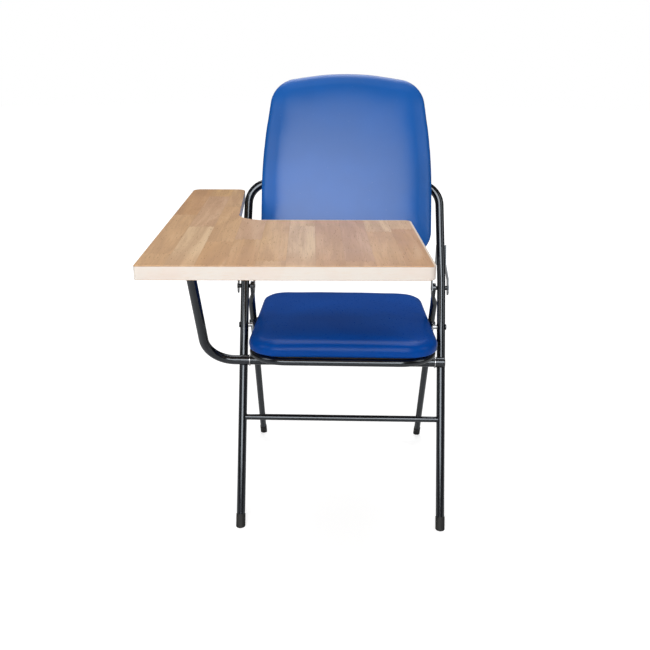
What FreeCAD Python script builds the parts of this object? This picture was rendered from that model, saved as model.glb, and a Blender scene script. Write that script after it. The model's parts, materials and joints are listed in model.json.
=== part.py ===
import FreeCAD, Part
import math
import os
import re
import Sketcher

# Folding lecture chair with a writing board, in millimetres.
# X runs to the right seen from the front, Y to the back, Z up.
# Lengths before the shift to the centre of the box start at the middle of the
# chair, where the front leg axes meet the floor.

SIZES = [
    # front leg and back hoop
    ("tube_diameter", "19"),
    ("tube_wall", "1.2"),
    ("lean_angle", "22.1"),
    ("leg_spread", "225"),
    ("leg_start", "8.6"),
    ("taper_above", "13.2"),
    ("taper_height", "=pivot_rise + taper_above"),
    ("taper_angle", "1.64"),
    ("taper_bend", "150"),
    ("hoop_above", "225"),
    ("hoop_height", "=taper_height + hoop_above"),
    ("hoop_bend", "50"),
    ("taper_rise", "=taper_height - leg_start"),
    ("hoop_corner_rise", "=hoop_bend * (1 - sin(taper_angle))"),
    ("hoop_rise", "=(hoop_height - taper_height - taper_bend * sin(taper_angle)"
                  " - hoop_corner_rise) / cos(taper_angle)"),
    ("hoop_narrowing", "=taper_bend * (1 - cos(taper_angle)) + hoop_rise * sin(taper_angle)"
                       " + hoop_bend * cos(taper_angle)"),
    ("hoop_span", "=2 * (leg_spread - hoop_narrowing)"),
    ("overrun", "20"),
    ("long_overrun", "80"),
    # stretchers and feet
    ("stretcher_diameter", "13"),
    ("stretcher_height", "245"),
    ("cap_wall", "1"),
    ("cap_length", "27"),
    # rear leg pivots
    ("pivot_behind", "17.6"),
    ("pivot_above_seat", "91.3"),
    ("pivot_rise", "=seat_pivot_rise + pivot_above_seat"),
    ("pivot_y", "=pivot_behind * cos(lean_angle) + pivot_rise * sin(lean_angle)"),
    ("pivot_z", "=pivot_rise * cos(lean_angle) - pivot_behind * sin(lean_angle)"),
    ("rivet_diameter", "6"),
    ("rivet_head", "6.5"),
    ("rivet_head_thickness", "2.2"),
    ("rivet_tail_share", "0.75"),
    ("slide_head_share", "0.8"),
    ("run_clearance", "0.05"),
    ("side_clearance", "0.1"),
    ("bracket_thickness", "2"),
    ("bracket_flare_gap", "19.2"),
    ("bracket_outer_flare", "=pivot_rise + bracket_flare_gap"),
    ("bracket_step", "18"),
    ("bracket_inner_flare", "=bracket_outer_flare + bracket_step"),
    ("bracket_fold_gap", "16"),
    ("bracket_fold", "=bracket_inner_flare + bracket_fold_gap"),
    ("bracket_head", "45"),
    ("bracket_top", "=bracket_fold + bracket_head"),
    ("bracket_foot_gap", "16.8"),
    ("bracket_foot", "=pivot_rise - bracket_foot_gap"),
    ("bracket_front", "1"),
    ("bracket_margin", "10.4"),
    ("bracket_back", "=pivot_behind + bracket_margin"),
    ("bracket_rounding", "9"),
    ("bracket_grip", "11.6"),
    ("bracket_inner_high", "=leg_spread - bracket_grip"),
    ("bracket_inner_set", "9.2"),
    ("bracket_inner_low", "=bracket_inner_high - bracket_inner_set"),
    ("bracket_outside", "9.6"),
    ("bracket_outer_high", "=leg_spread + bracket_outside"),
    ("bracket_outer_set", "5.9"),
    ("bracket_outer_low", "=bracket_outer_high + bracket_outer_set"),
    ("spacer_diameter", "10"),
    # rear legs
    ("rear_angle", "26.8"),
    ("rear_diameter", "16"),
    ("rear_wall", "1.2"),
    ("rear_inset", "10.5"),
    ("rear_spread", "=leg_spread - rear_inset"),
    ("rear_reach", "=pivot_z / cos(rear_angle)"),
    ("rear_start", "8.6"),
    ("rear_stretcher_gap", "68.4"),
    ("rear_stretcher_drop", "=rear_reach - rear_stretcher_gap"),
    ("flat_thickness", "7"),
    ("flat_inset", "14.6"),
    ("flat_middle", "=leg_spread - flat_inset"),
    ("flat_width", "22"),
    ("flat_drop", "28"),
    ("round_drop", "47"),
    ("flat_rounding", "2"),
    ("round_facet", "0.6"),
    ("slide_drop", "118"),
    ("slide_inset", "19.1"),
    ("slide_inner", "=leg_spread - slide_inset"),
    # seat
    ("seat_angle", "1.5"),
    ("seat_pivot_rise", "455.5"),
    ("seat_pivot_y", "=seat_pivot_rise * sin(lean_angle)"),
    ("seat_pivot_z", "=seat_pivot_rise * cos(lean_angle)"),
    ("rail_diameter", "16"),
    ("rail_wall", "1.2"),
    ("rail_inset", "29.5"),
    ("rail_spread", "=leg_spread - rail_inset"),
    ("rail_drop", "29.3"),
    ("rail_front", "163.7"),
    ("rail_back", "224"),
    ("rail_bend", "75"),
    ("rear_tie_gap", "12"),
    ("rear_tie_back", "=rail_back - rear_tie_gap"),
    ("strap_width", "25"),
    ("strap_thickness", "3"),
    ("strap_front", "60"),
    ("strap_back", "130"),
    ("seat_board_thickness", "9"),
    ("board_gap", "0.3"),
    ("board_corner", "10"),
    ("plate_thickness", "2"),
    ("plate_ear", "11"),
    ("plate_front", "12"),
    ("plate_front_drop", "28"),
    ("plate_front_round", "8"),
    ("plate_back_round", "10"),
    ("slide_angle", "12.8"),
    ("slide_far", "109"),
    ("slide_near", "32"),
    ("slide_width", "6.6"),
    ("screw_diameter", "4.4"),
    ("screw_head", "4.4"),
    ("screw_head_thickness", "2.2"),
    ("screw_depth", "7"),
    ("seat_screw_spread", "120"),
    # seat cushion
    ("soft_gap", "0.3"),
    ("seat_pad_overhang", "8.3"),
    ("seat_pad_half", "=rail_spread + seat_pad_overhang"),
    ("seat_pad_taper", "4.8"),
    ("seat_pad_rear_half", "=seat_pad_half - seat_pad_taper"),
    ("seat_pad_nose", "6.3"),
    ("seat_pad_front", "=rail_front + seat_pad_nose"),
    ("seat_pad_tail", "24"),
    ("seat_pad_back", "=rail_back + seat_pad_tail"),
    ("seat_pad_front_round", "70"),
    ("seat_pad_back_round", "50"),
    ("seat_pad_height", "38.4"),
    ("seat_crown_inset", "21"),
    # back pad
    ("upright_spread", "90"),
    ("upright_width", "25"),
    ("upright_thickness", "3"),
    ("upright_drop", "95"),
    ("upright_foot", "=hoop_height - upright_drop"),
    ("upright_top_gap", "27"),
    ("upright_top", "=pad_top - upright_top_gap"),
    ("back_board_thickness", "12"),
    ("back_board_inset", "7"),
    ("pad_inset", "33.5"),
    ("pad_half", "=leg_spread - pad_inset"),
    ("pad_foot_drop", "77"),
    ("pad_foot", "=upright_foot - pad_foot_drop"),
    ("pad_foot_round", "55"),
    ("pad_side_drop", "197"),
    ("pad_side_height", "=pad_shoulder_height - pad_side_drop"),
    ("pad_bend_share", "0.96"),
    ("pad_side_bend", "=(pad_side_drop ^ 2 + pad_shoulder_inset ^ 2 - pad_shoulder_round ^ 2)"
                      " / pad_shoulder_gap / 2 * pad_bend_share"),
    ("pad_shoulder_round", "64"),
    ("pad_shoulder_gap", "16.5"),
    ("pad_shoulder_inset", "=pad_shoulder_round + pad_shoulder_gap"),
    ("pad_shoulder_half", "=pad_half - pad_shoulder_inset"),
    ("pad_shoulder_rise", "339"),
    ("pad_shoulder_height", "=pad_foot + pad_shoulder_rise"),
    ("pad_top_gap", "11"),
    ("pad_top_rise", "=pad_shoulder_round + pad_top_gap"),
    ("pad_top", "=pad_shoulder_height + pad_top_rise"),
    ("pad_top_bend", "=(pad_shoulder_half ^ 2 + pad_top_rise ^ 2 - pad_shoulder_round ^ 2)"
                     " / pad_top_gap / 2 * pad_bend_share"),
    ("back_pad_height", "37.2"),
    ("back_crown_inset", "34"),
    ("back_screw_gap", "15"),
    ("back_screw_low", "=upright_foot + back_screw_gap"),
    ("back_screw_top_gap", "40"),
    ("back_screw_high", "=upright_top - back_screw_top_gap"),
    ("back_screw_depth", "9"),
    # tablet support
    ("arm_angle", "25"),
    ("cross_diameter", "21"),
    ("cross_wall", "1.6"),
    ("cross_before", "21.6"),
    ("cross_below_seat", "81"),
    ("cross_rise", "=seat_pivot_rise - cross_below_seat"),
    ("cross_y", "=cross_rise * sin(lean_angle) - cross_before * cos(lean_angle)"),
    ("cross_z", "=cross_rise * cos(lean_angle) + cross_before * sin(lean_angle)"),
    ("cross_past", "4"),
    ("cross_end", "=leg_spread + cross_past"),
    ("arm_bend_gap", "17"),
    ("arm_bend_start", "=leg_spread + arm_bend_gap"),
    ("arm_bend", "65"),
    ("arm_flare_angle", "2.1"),
    ("arm_corner_rise", "=arm_bend * (1 - sin(arm_flare_angle))"),
    ("arm_top", "683"),
    ("arm_run", "=((arm_top - cross_z) / cos(arm_angle) - arm_corner_rise) / cos(arm_flare_angle)"),
    ("lid_size", "84"),
    ("saddle_thickness", "1.2"),
    ("saddle_inset", "14"),
    ("saddle_start", "=leg_spread - saddle_inset"),
    ("saddle_width", "17"),
    ("saddle_end", "=saddle_start + saddle_width"),
    ("saddle_pad", "12"),
    ("saddle_wrap", "4.75"),
    ("ring_inset", "17.4"),
    ("ring_start", "=leg_spread - ring_inset"),
    ("ring_thickness", "1.6"),
    ("ring_outer", "13.4"),
    ("end_cap_thickness", "2"),
    ("end_plug_length", "12"),
    # writing board and its hinge
    ("table_overhang", "11.6"),
    ("table_x", "=-(arm_bend_start + arm_bend + table_overhang)"),
    ("table_before_arm", "384.786"),
    ("table_y", "=cross_y - (arm_top - cross_z) * tan(arm_angle) - table_before_arm"),
    ("table_z", "=arm_top + bed_drop"),
    ("table_skew_angle", "2"),
    ("table_width", "455"),
    ("table_arm_length", "342"),
    ("table_length", "=table_depth + table_arm_length"),
    ("table_depth", "340"),
    ("table_thickness", "23"),
    ("table_arm_rear", "117"),
    ("table_arm_flare", "10.4"),
    ("table_arm_front", "=table_arm_rear + table_arm_flare"),
    ("table_hollow", "50"),
    ("table_corner_near", "5"),
    ("table_corner_right", "12"),
    ("table_corner_inner", "14"),
    ("table_corner_arm", "18"),
    ("table_rounding", "1.6"),
    ("hinge_inset", "6"),
    ("hinge_drop", "5"),
    ("knuckle_radius", "4"),
    ("pin_radius", "2"),
    ("pin_head_radius", "3"),
    ("pin_head_thickness", "1.5"),
    ("bed_front_gap", "59.786"),
    ("bed_front", "=table_before_arm - bed_front_gap"),
    ("bed_length", "122"),
    ("bed_back", "=bed_front + bed_length"),
    ("hinge_setback", "10"),
    ("hinge_front", "=bed_front + hinge_setback"),
    ("knuckle_length", "31"),
    ("hinge_middle_front", "=hinge_front + knuckle_length"),
    ("middle_knuckle_length", "43"),
    ("hinge_middle_back", "=hinge_middle_front + middle_knuckle_length"),
    ("hinge_back", "=hinge_middle_back + knuckle_length"),
    ("leaf_thickness", "2.5"),
    ("bed_thickness", "3"),
    ("neck_step", "0.9"),
    ("bed_drop", "10"),
    ("bed_reach", "120"),
    ("leaf_gap", "8"),
    ("leaf_reach", "=bed_reach - leaf_gap"),
    ("leaf_start_gap", "0.4"),
    ("leaf_start", "=hinge_inset + knuckle_radius + leaf_start_gap"),
    ("bumper_radius", "7"),
    ("bumper_gap", "20"),
    ("bumper_reach", "=bed_reach - bumper_gap"),
    ("bumper_setback", "20"),
    ("bumper_front", "=bed_front + bumper_setback"),
    ("bumper_end_gap", "19"),
    ("bumper_back", "=bed_back - bumper_end_gap"),
    ("leaf_screw_gap", "20"),
    ("leaf_screw_near", "=hinge_setback + leaf_screw_gap"),
    ("leaf_screw_spacing", "50"),
    ("leaf_screw_far", "=leaf_screw_near + leaf_screw_spacing"),
    ("leaf_screw_setback", "15"),
    ("leaf_screw_front", "=hinge_front + leaf_screw_setback"),
    ("leaf_screw_back", "=hinge_back - leaf_screw_setback"),
    ("leaf_screw_depth", "14"),
    ("leaf_screw_head_thickness", "1.6"),
    # shift that puts the origin under the middle of the whole chair
    ("edge_tolerance", "0.001"),
    ("origin_x", "0"),
    ("origin_y", "0"),
]

doc = FreeCAD.newDocument("LectureChair")
sizes = doc.addObject("Spreadsheet::Sheet", "Sizes")
for row, (alias, _) in enumerate(SIZES, start=1):
    sizes.set("A%d" % row, alias.replace("_", " "))
    sizes.setAlias("B%d" % row, alias)
for row, (_, text) in enumerate(SIZES, start=1):
    sizes.set("B%d" % row, text)
doc.recompute()

ALIAS = re.compile(r"(?<![\w.])([a-z]\w*)(?![\w(])")
X_AXIS = FreeCAD.Vector(1, 0, 0)
Y_AXIS = FreeCAD.Vector(0, 1, 0)
Z_AXIS = FreeCAD.Vector(0, 0, 1)

# Each frame is a place (x, y, z), the axis it turns about and the turn.
FRAMES = {
    "front": (("0", "0", "0"), -X_AXIS, "lean_angle"),
    "rear": (("0", "pivot_y", "pivot_z"), X_AXIS, "rear_angle"),
    "seat": (("0", "seat_pivot_y", "seat_pivot_z"), -X_AXIS, "seat_angle"),
    "support": (("0", "cross_y", "cross_z"), X_AXIS, "arm_angle"),
    "table": (("table_x", "table_y", "table_z"), Z_AXIS, "table_skew_angle"),
}
SIDES = {"left": -1, "right": 1}
# Each level of a cushion is a share of its height and a share of its crown inset.
LEVEL_SHARES = ((0.0, 0.16), (0.18, 0.04), (0.45, 0.0), (0.65, 0.04), (0.82, 0.18), (0.94, 0.50), (1.0, 1.0))
nodes = []


def link(text):
    """Return the text with each alias written as a cell of the sheet."""
    return ALIAS.sub(r"Sizes.\1", text)


def value(text):
    """Return the number that an expression over the aliases has now."""
    return float(sizes.evalExpression(link(text)))


def bind(thing, prop, text):
    """Drive one property of an object by an expression over the aliases."""
    thing.setExpression(prop, link(text))


def flip(side, low, high):
    """Return a range of x on the right, or its mirror image on the left."""
    if side == "right":
        return (low, high)
    return ("-(%s)" % high, "-(%s)" % low)


def signed(side, text):
    """Return a place on the right, or its mirror image on the left."""
    return text if side == "right" else "-(%s)" % text


def move(thing, x, y, z):
    """Bind the base of a placement to three expressions."""
    bind(thing, "Placement.Base.x", x)
    bind(thing, "Placement.Base.y", y)
    bind(thing, "Placement.Base.z", z)


def node(thing, label, frame):
    """Name a finished piece and set it in its frame."""
    (x, y, z), axis, angle = FRAMES[frame]
    thing.Label = label
    thing.Placement = FreeCAD.Placement(FreeCAD.Vector(0, 0, 0), FreeCAD.Rotation(axis, value(angle)))
    bind(thing, "Placement.Rotation.Angle", angle)
    move(thing, "%s - origin_x" % x, "%s - origin_y" % y, z)
    nodes.append(thing)
    return thing


def block(name, x, y, z):
    """Make a box from three pairs of limits."""
    made = doc.addObject("Part::Box", name)
    bind(made, "Length", "(%s) - (%s)" % (x[1], x[0]))
    bind(made, "Width", "(%s) - (%s)" % (y[1], y[0]))
    bind(made, "Height", "(%s) - (%s)" % (z[1], z[0]))
    move(made, x[0], y[0], z[0])
    return made


def rod(name, way, start, end, first, second, radius):
    """Make a cylinder along x, y or z from start to end at the two other coordinates."""
    made = doc.addObject("Part::Cylinder", name)
    bind(made, "Radius", radius)
    bind(made, "Height", "(%s) - (%s)" % (end, start))
    if way == "x":
        made.Placement = FreeCAD.Placement(FreeCAD.Vector(0, 0, 0), FreeCAD.Rotation(Y_AXIS, 90))
        move(made, start, first, second)
    elif way == "y":
        made.Placement = FreeCAD.Placement(FreeCAD.Vector(0, 0, 0), FreeCAD.Rotation(-X_AXIS, 90))
        move(made, first, start, second)
    else:
        move(made, first, second, start)
    return made


def fuse(name, pieces):
    """Join pieces, or hold separate ones together as one node."""
    made = doc.addObject("Part::MultiFuse", name)
    made.Shapes = pieces
    return made


def cut(name, base, tools):
    """Take the tools away from the base."""
    made = doc.addObject("Part::Cut", name)
    made.Base = base
    made.Tool = tools[0] if len(tools) == 1 else fuse(name + "_tools", tools)
    return made


def plane(body, role):
    """Return the origin plane of a body with this role."""
    for feature in body.Origin.OriginFeatures:
        if feature.Role == role:
            return feature
    raise ValueError(role)


def sketch(body, name, role, height="0"):
    """Make a sketch on an origin plane of the body at a height above it."""
    made = body.newObject("Sketcher::SketchObject", name)
    made.AttachmentSupport = [(plane(body, role), "")]
    made.MapMode = "FlatFace"
    bind(made, "AttachmentOffset.Base.z", height)
    return made


def constrain(made, kind, places, text, angle=False):
    """Add a driven constraint to a sketch."""
    number = value(text)
    if angle:
        number = math.radians(number)
    index = made.addConstraint(Sketcher.Constraint(kind, *places, number))
    bind(made, "Constraints[%d]" % index, text)


def pin(made, index, point, x, y):
    """Fix one point of a sketch at two expressions."""
    constrain(made, "DistanceX", (-1, 1, index, point), x)
    constrain(made, "DistanceY", (-1, 1, index, point), y)


def polygon(made, points):
    """Draw a closed outline of straight lines."""
    spots = [FreeCAD.Vector(value(x), value(y), 0) for x, y in points]
    count = len(spots)
    for index in range(count):
        made.addGeometry(Part.LineSegment(spots[index], spots[(index + 1) % count]), False)
    for index in range(count):
        following = (index + 1) % count
        made.addConstraint(Sketcher.Constraint("Coincident", index, 2, following, 1))
    for index, (x, y) in enumerate(points):
        pin(made, index, 1, x, y)


def circle(made, x, y, radius):
    """Draw a circle."""
    centre = FreeCAD.Vector(value(x), value(y), 0)
    index = made.addGeometry(Part.Circle(centre, Z_AXIS, value(radius)), False)
    pin(made, index, 3, x, y)
    constrain(made, "Radius", (index,), radius)


def outline(made, corners, inset="0"):
    """Draw a closed outline of arcs and the straight lines that touch them.

    Each corner is the centre and radius of its arc, counter-clockwise, and a
    hollow corner is marked by a last entry of -1. The inset draws it smaller.
    """
    rounds = []
    for corner in corners:
        sense = corner[3] if len(corner) > 3 else 1
        text = "%s - (%s)" % (corner[2], inset) if sense > 0 else "%s + (%s)" % (corner[2], inset)
        rounds.append((value(corner[0]), value(corner[1]), sense * value(text), text))
    count = len(rounds)
    normals = []
    for index in range(count):
        ax, ay, ar, _ = rounds[index]
        bx, by, br, _ = rounds[(index + 1) % count]
        reach = math.hypot(bx - ax, by - ay)
        ux, uy = (bx - ax) / reach, (by - ay) / reach
        along = (ar - br) / reach
        across = math.sqrt(1 - along * along)
        normals.append((ux * along + uy * across, uy * along - ux * across))
    for index in range(count):
        ax, ay, ar, _ = rounds[index]
        before, after = normals[index - 1], normals[index]
        if ar > 0:
            start = math.atan2(before[1], before[0])
            end = math.atan2(after[1], after[0])
        else:
            start = math.atan2(-after[1], -after[0])
            end = math.atan2(-before[1], -before[0])
        if end < start:
            end += 2 * math.pi
        arc = Part.Circle(FreeCAD.Vector(ax, ay, 0), Z_AXIS, abs(ar))
        made.addGeometry(Part.ArcOfCircle(arc, start, end), False)
    for index in range(count):
        ax, ay, ar, _ = rounds[index]
        bx, by, br, _ = rounds[(index + 1) % count]
        nx, ny = normals[index]
        first = FreeCAD.Vector(ax + ar * nx, ay + ar * ny, 0)
        second = FreeCAD.Vector(bx + br * nx, by + br * ny, 0)
        made.addGeometry(Part.LineSegment(first, second), False)
    for index in range(count):
        following = (index + 1) % count
        line = count + index
        leaving = 2 if rounds[index][2] > 0 else 1
        arriving = 1 if rounds[following][2] > 0 else 2
        made.addConstraint(Sketcher.Constraint("Tangent", index, leaving, line, 1))
        made.addConstraint(Sketcher.Constraint("Tangent", line, 2, following, arriving))
    for index, corner in enumerate(corners):
        pin(made, index, 3, corner[0], corner[1])
        constrain(made, "Radius", (index,), rounds[index][3])


def path(made, x, y, heading, steps):
    """Draw an open path of runs and bends: ("run", length) or ("bend", radius, turn, way)."""
    px, py = value(x), value(y)
    way = float(heading)
    for step in steps:
        if step[0] == "run":
            length = value(step[1])
            ex = px + length * math.cos(math.radians(way))
            ey = py + length * math.sin(math.radians(way))
            made.addGeometry(Part.LineSegment(FreeCAD.Vector(px, py, 0), FreeCAD.Vector(ex, ey, 0)), False)
            px, py = ex, ey
            continue
        radius, turn, sense = value(step[1]), value(step[2]), step[3]
        side = math.radians(way + 90 * sense)
        cx, cy = px + radius * math.cos(side), py + radius * math.sin(side)
        first = way - 90 * sense
        last = first + turn * sense
        low, high = (first, last) if sense > 0 else (last, first)
        round_path = Part.Circle(FreeCAD.Vector(cx, cy, 0), Z_AXIS, radius)
        made.addGeometry(Part.ArcOfCircle(round_path, math.radians(low), math.radians(high)), False)
        way += turn * sense
        px = cx + radius * math.cos(math.radians(last))
        py = cy + radius * math.sin(math.radians(last))
    for index, step in enumerate(steps):
        begins = 1 if step[0] == "run" or step[3] > 0 else 2
        if index:
            before = steps[index - 1]
            ends = 2 if before[0] == "run" or before[3] > 0 else 1
            made.addConstraint(Sketcher.Constraint("Tangent", index - 1, ends, index, begins))
        if step[0] == "run":
            constrain(made, "Distance", (index,), step[1])
        else:
            constrain(made, "Radius", (index,), step[1])
            constrain(made, "Angle", (index,), step[2], angle=True)
    pin(made, 0, 1, x, y)
    made.addConstraint(Sketcher.Constraint("Vertical" if heading in (90, 270) else "Horizontal", 0))


def tube(name, role, height, x, y, heading, steps, ring, diameter, wall=None):
    """Sweep a tube, or a solid bar where no wall is given, along a path.

    The ring is the plane of its start, its height, and its centre there.
    """
    body = doc.addObject("PartDesign::Body", name)
    spine = sketch(body, name + "_path", role, height)
    path(spine, x, y, heading, steps)
    section = sketch(body, name + "_ring", ring[0], ring[1])
    circle(section, ring[2], ring[3], "%s / 2" % diameter)
    if wall:
        circle(section, ring[2], ring[3], "%s / 2 - %s" % (diameter, wall))
    pipe = body.newObject("PartDesign::AdditivePipe", name + "_pipe")
    pipe.Profile = section
    pipe.Spine = (spine, ["Edge%d" % (index + 1) for index in range(len(steps))])
    return body


def slab(name, role, height, depth, draw):
    """Make a body of one pad; draw fills its sketch, and more sketches can be cut later."""
    body = doc.addObject("PartDesign::Body", name)
    base = sketch(body, name + "_outline", role, height)
    draw(base)
    pad = body.newObject("PartDesign::Pad", name + "_pad")
    pad.Profile = base
    bind(pad, "Length", depth)
    return body


def cushion(name, role, start, rise, corners, crown):
    """Loft a crowned pad: its sides swell below the middle and draw in to the crown."""
    body = doc.addObject("PartDesign::Body", name)
    sections = []
    for index, (height_share, inset_share) in enumerate(LEVEL_SHARES):
        made = sketch(body, "%s_level_%d" % (name, index), role, "%s + %s * %s" % (start, rise, height_share))
        outline(made, corners, "%s * %s" % (crown, inset_share))
        sections.append(made)
    loft = body.newObject("PartDesign::AdditiveLoft", name + "_loft")
    loft.Profile = sections[0]
    loft.Sections = sections[1:]
    return body


def floor_block(name, angle, width, depth, foot):
    """Make the block under the floor as a leaning frame sees it; foot is its floor along the leg."""
    made = doc.addObject("Part::Box", name)
    bind(made, "Length", width)
    bind(made, "Width", depth)
    bind(made, "Height", depth)
    axis = X_AXIS if angle[0] != "-" else -X_AXIS
    turn = angle.lstrip("-")
    made.Placement = FreeCAD.Placement(FreeCAD.Vector(0, 0, 0), FreeCAD.Rotation(axis, value(turn)))
    bind(made, "Placement.Rotation.Angle", turn)
    sense = "" if angle[0] != "-" else "-"
    across = "-(%s / 2) * cos(%s) + %s * sin(%s%s)" % (depth, turn, depth, sense, turn)
    along = "%s - (%s / 2) * sin(%s%s) - %s * cos(%s)" % (foot, depth, sense, turn, depth, turn)
    move(made, "-(%s) / 2" % width, across, along)
    return made


def foot_caps(name, spread, diameter, start, foot, angle):
    """Make the two caps of a pair of legs, cut level with the floor."""
    outer, holes = [], []
    for side in SIDES:
        x = signed(side, spread)
        low = "%s - overrun" % foot
        outer.append(rod("%s_%s" % (name, side), "z", low, "%s + cap_length" % foot, x, "0",
                         "%s / 2 + cap_wall" % diameter))
        holes.append(rod("%s_hole_%s" % (name, side), "z", "%s + %s" % (foot, start),
                         "%s + cap_length + overrun" % foot, x, "0", "%s / 2" % diameter))
    holes.append(floor_block(name + "_floor", angle, "2 * %s + 2 * long_overrun" % spread, "long_overrun", foot))
    return cut(name, fuse(name + "_bodies", outer), holes)


def stretcher(name, spread, diameter, z, legs, y="0"):
    """Make a bar between two legs, hollowed at its ends to sit on them."""
    bar = rod(name + "_bar", "x", "-(%s)" % spread, spread, y, z, "%s / 2" % diameter)
    ends = []
    for side in SIDES:
        ends.append(rod("%s_end_%s" % (name, side), "z", "%s - long_overrun" % z, "%s + long_overrun" % z,
                        signed(side, spread), y, "%s / 2" % legs))
    return cut(name, bar, ends)


# Front frame: x, distance behind the plane of the legs, and height along the legs.
HOOP = [
    ("run", "taper_rise"),
    ("bend", "taper_bend", "taper_angle", -1),
    ("run", "hoop_rise"),
    ("bend", "hoop_bend", "90 - taper_angle", -1),
    ("run", "hoop_span"),
    ("bend", "hoop_bend", "90 - taper_angle", -1),
    ("run", "hoop_rise"),
    ("bend", "taper_bend", "taper_angle", -1),
    ("run", "taper_rise"),
]
HOOP_START = ("XY_Plane", "leg_start", "-leg_spread", "0")
hoop = tube("hoop", "XZ_Plane", "0", "-leg_spread", "leg_start", 90, HOOP, HOOP_START,
            "tube_diameter", "tube_wall")
hoop_bulk = tube("hoop_bulk", "XZ_Plane", "0", "-leg_spread", "leg_start", 90, HOOP, HOOP_START,
                 "tube_diameter")
hoop_holes = rod("hoop_holes", "x", "-leg_spread - long_overrun", "leg_spread + long_overrun", "0",
                 "seat_pivot_rise", "rivet_diameter / 2")
node(cut("front_hoop", hoop, [hoop_holes]), "front_leg_frame", "front")
node(stretcher("low_bar", "leg_spread", "stretcher_diameter", "stretcher_height", "tube_diameter"),
     "front_stretcher", "front")
node(foot_caps("front_caps", "leg_spread", "tube_diameter", "leg_start", "0", "lean_angle"),
     "front_foot_caps", "front")

# Brackets that carry the rear leg pivots behind the front legs.
rivets = []
spacers = []
for side in SIDES:
    cheeks = []
    for cheek, high, low, flare in (("inner", "bracket_inner_high", "bracket_inner_low", "bracket_inner_flare"),
                                    ("outer", "bracket_outer_high", "bracket_outer_low", "bracket_outer_flare")):
        spots = [(signed(side, high), "bracket_top"), (signed(side, high), "bracket_fold"),
                 (signed(side, low), flare), (signed(side, low), "bracket_foot"),
                 (signed(side, "%s + bracket_thickness" % low), "bracket_foot"),
                 (signed(side, "%s + bracket_thickness" % low), flare),
                 (signed(side, "%s + bracket_thickness" % high), "bracket_fold"),
                 (signed(side, "%s + bracket_thickness" % high), "bracket_top")]
        cheeks.append(slab("cheek_%s_%s" % (cheek, side), "XZ_Plane", "-bracket_back",
                           "bracket_back - bracket_front", lambda made, spots=spots: polygon(made, spots)))
    cheeks.append(block("web_%s" % side,
                        flip(side, "bracket_inner_high", "bracket_outer_high + bracket_thickness"),
                        ("tube_diameter / 2 - bracket_thickness / 2", "tube_diameter / 2 + bracket_thickness / 2"),
                        ("bracket_fold", "bracket_top")))
    profile = [("bracket_front + bracket_rounding", "bracket_foot + bracket_rounding", "bracket_rounding"),
               ("bracket_back - bracket_rounding", "bracket_foot + bracket_rounding", "bracket_rounding"),
               ("bracket_back - bracket_rounding", "bracket_fold", "bracket_rounding"),
               ("tube_diameter / 2 - bracket_thickness", "bracket_top - bracket_thickness", "bracket_thickness"),
               ("bracket_front + bracket_thickness", "bracket_top - bracket_thickness", "bracket_thickness")]
    x_low, x_high = flip(side, "bracket_inner_low - overrun", "bracket_outer_low + overrun")
    envelope = slab("bracket_profile_%s" % side, "YZ_Plane", x_low, "(%s) - (%s)" % (x_high, x_low),
                    lambda made, profile=profile: outline(made, profile))
    shaped = doc.addObject("Part::Common", "bracket_shape_%s" % side)
    shaped.Base = fuse("bracket_sheet_%s" % side, cheeks)
    shaped.Tool = envelope
    low, high = flip(side, "bracket_inner_low - overrun", "bracket_outer_low + overrun")
    hole = rod("bracket_hole_%s" % side, "x", low, high, "pivot_behind", "pivot_rise", "rivet_diameter / 2")
    leg = rod("bracket_leg_%s" % side, "z", "bracket_foot - overrun", "bracket_top + overrun",
              signed(side, "leg_spread"), "0", "tube_diameter / 2")
    node(cut("bracket_%s" % side, shaped, [hole, leg, hoop_bulk]), "pivot_bracket_%s" % side, "front")
    for name, start, end, radius in (
            ("shank", "bracket_inner_low", "bracket_outer_low + bracket_thickness", "rivet_diameter / 2"),
            ("tail", "bracket_inner_low - bracket_thickness / 2", "bracket_inner_low",
             "rivet_diameter * rivet_tail_share"),
            ("head", "bracket_outer_low + bracket_thickness",
             "bracket_outer_low + bracket_thickness + rivet_head_thickness", "rivet_head")):
        low, high = flip(side, start, end)
        rivets.append(rod("pivot_%s_%s" % (name, side), "x", low, high, "pivot_behind", "pivot_rise", radius))
    low, high = flip(side, "flat_middle + flat_thickness / 2 + side_clearance", "bracket_outer_low")
    bush = rod("pivot_bush_%s" % side, "x", low, high, "pivot_behind", "pivot_rise", "spacer_diameter / 2")
    bore = rod("pivot_bore_%s" % side, "x", low, high, "pivot_behind", "pivot_rise", "rivet_diameter / 2")
    spacers.append(cut("pivot_spacer_%s" % side, bush, [bore]))
node(fuse("pivot_rivet_pair", rivets), "pivot_rivets", "front")
node(fuse("pivot_spacer_pair", spacers), "pivot_spacers", "front")

# Rivets and bushes that the seat hangs on.
rivets = []
spacers = []
for side in SIDES:
    for name, start, end, radius in (
            ("shank", "rail_spread + rail_diameter / 2", "leg_spread + tube_diameter / 2", "rivet_diameter / 2"),
            ("head", "leg_spread + tube_diameter / 2",
             "leg_spread + tube_diameter / 2 + rivet_head_thickness", "rivet_head")):
        low, high = flip(side, start, end)
        rivets.append(rod("hang_%s_%s" % (name, side), "x", low, high, "0", "seat_pivot_rise", radius))
    low, high = flip(side, "rail_spread + rail_diameter / 2 + plate_thickness + side_clearance",
                     "leg_spread - tube_diameter / 2")
    bush = rod("hang_bush_%s" % side, "x", low, high, "0", "seat_pivot_rise", "spacer_diameter / 2")
    bore = rod("hang_bore_%s" % side, "x", low, high, "0", "seat_pivot_rise", "rivet_diameter / 2")
    spacers.append(cut("hang_spacer_%s" % side, bush, [bore]))
node(fuse("hang_rivets", rivets), "seat_pivot_rivets", "front")
node(fuse("hang_spacers", spacers), "seat_pivot_spacers", "front")

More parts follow.
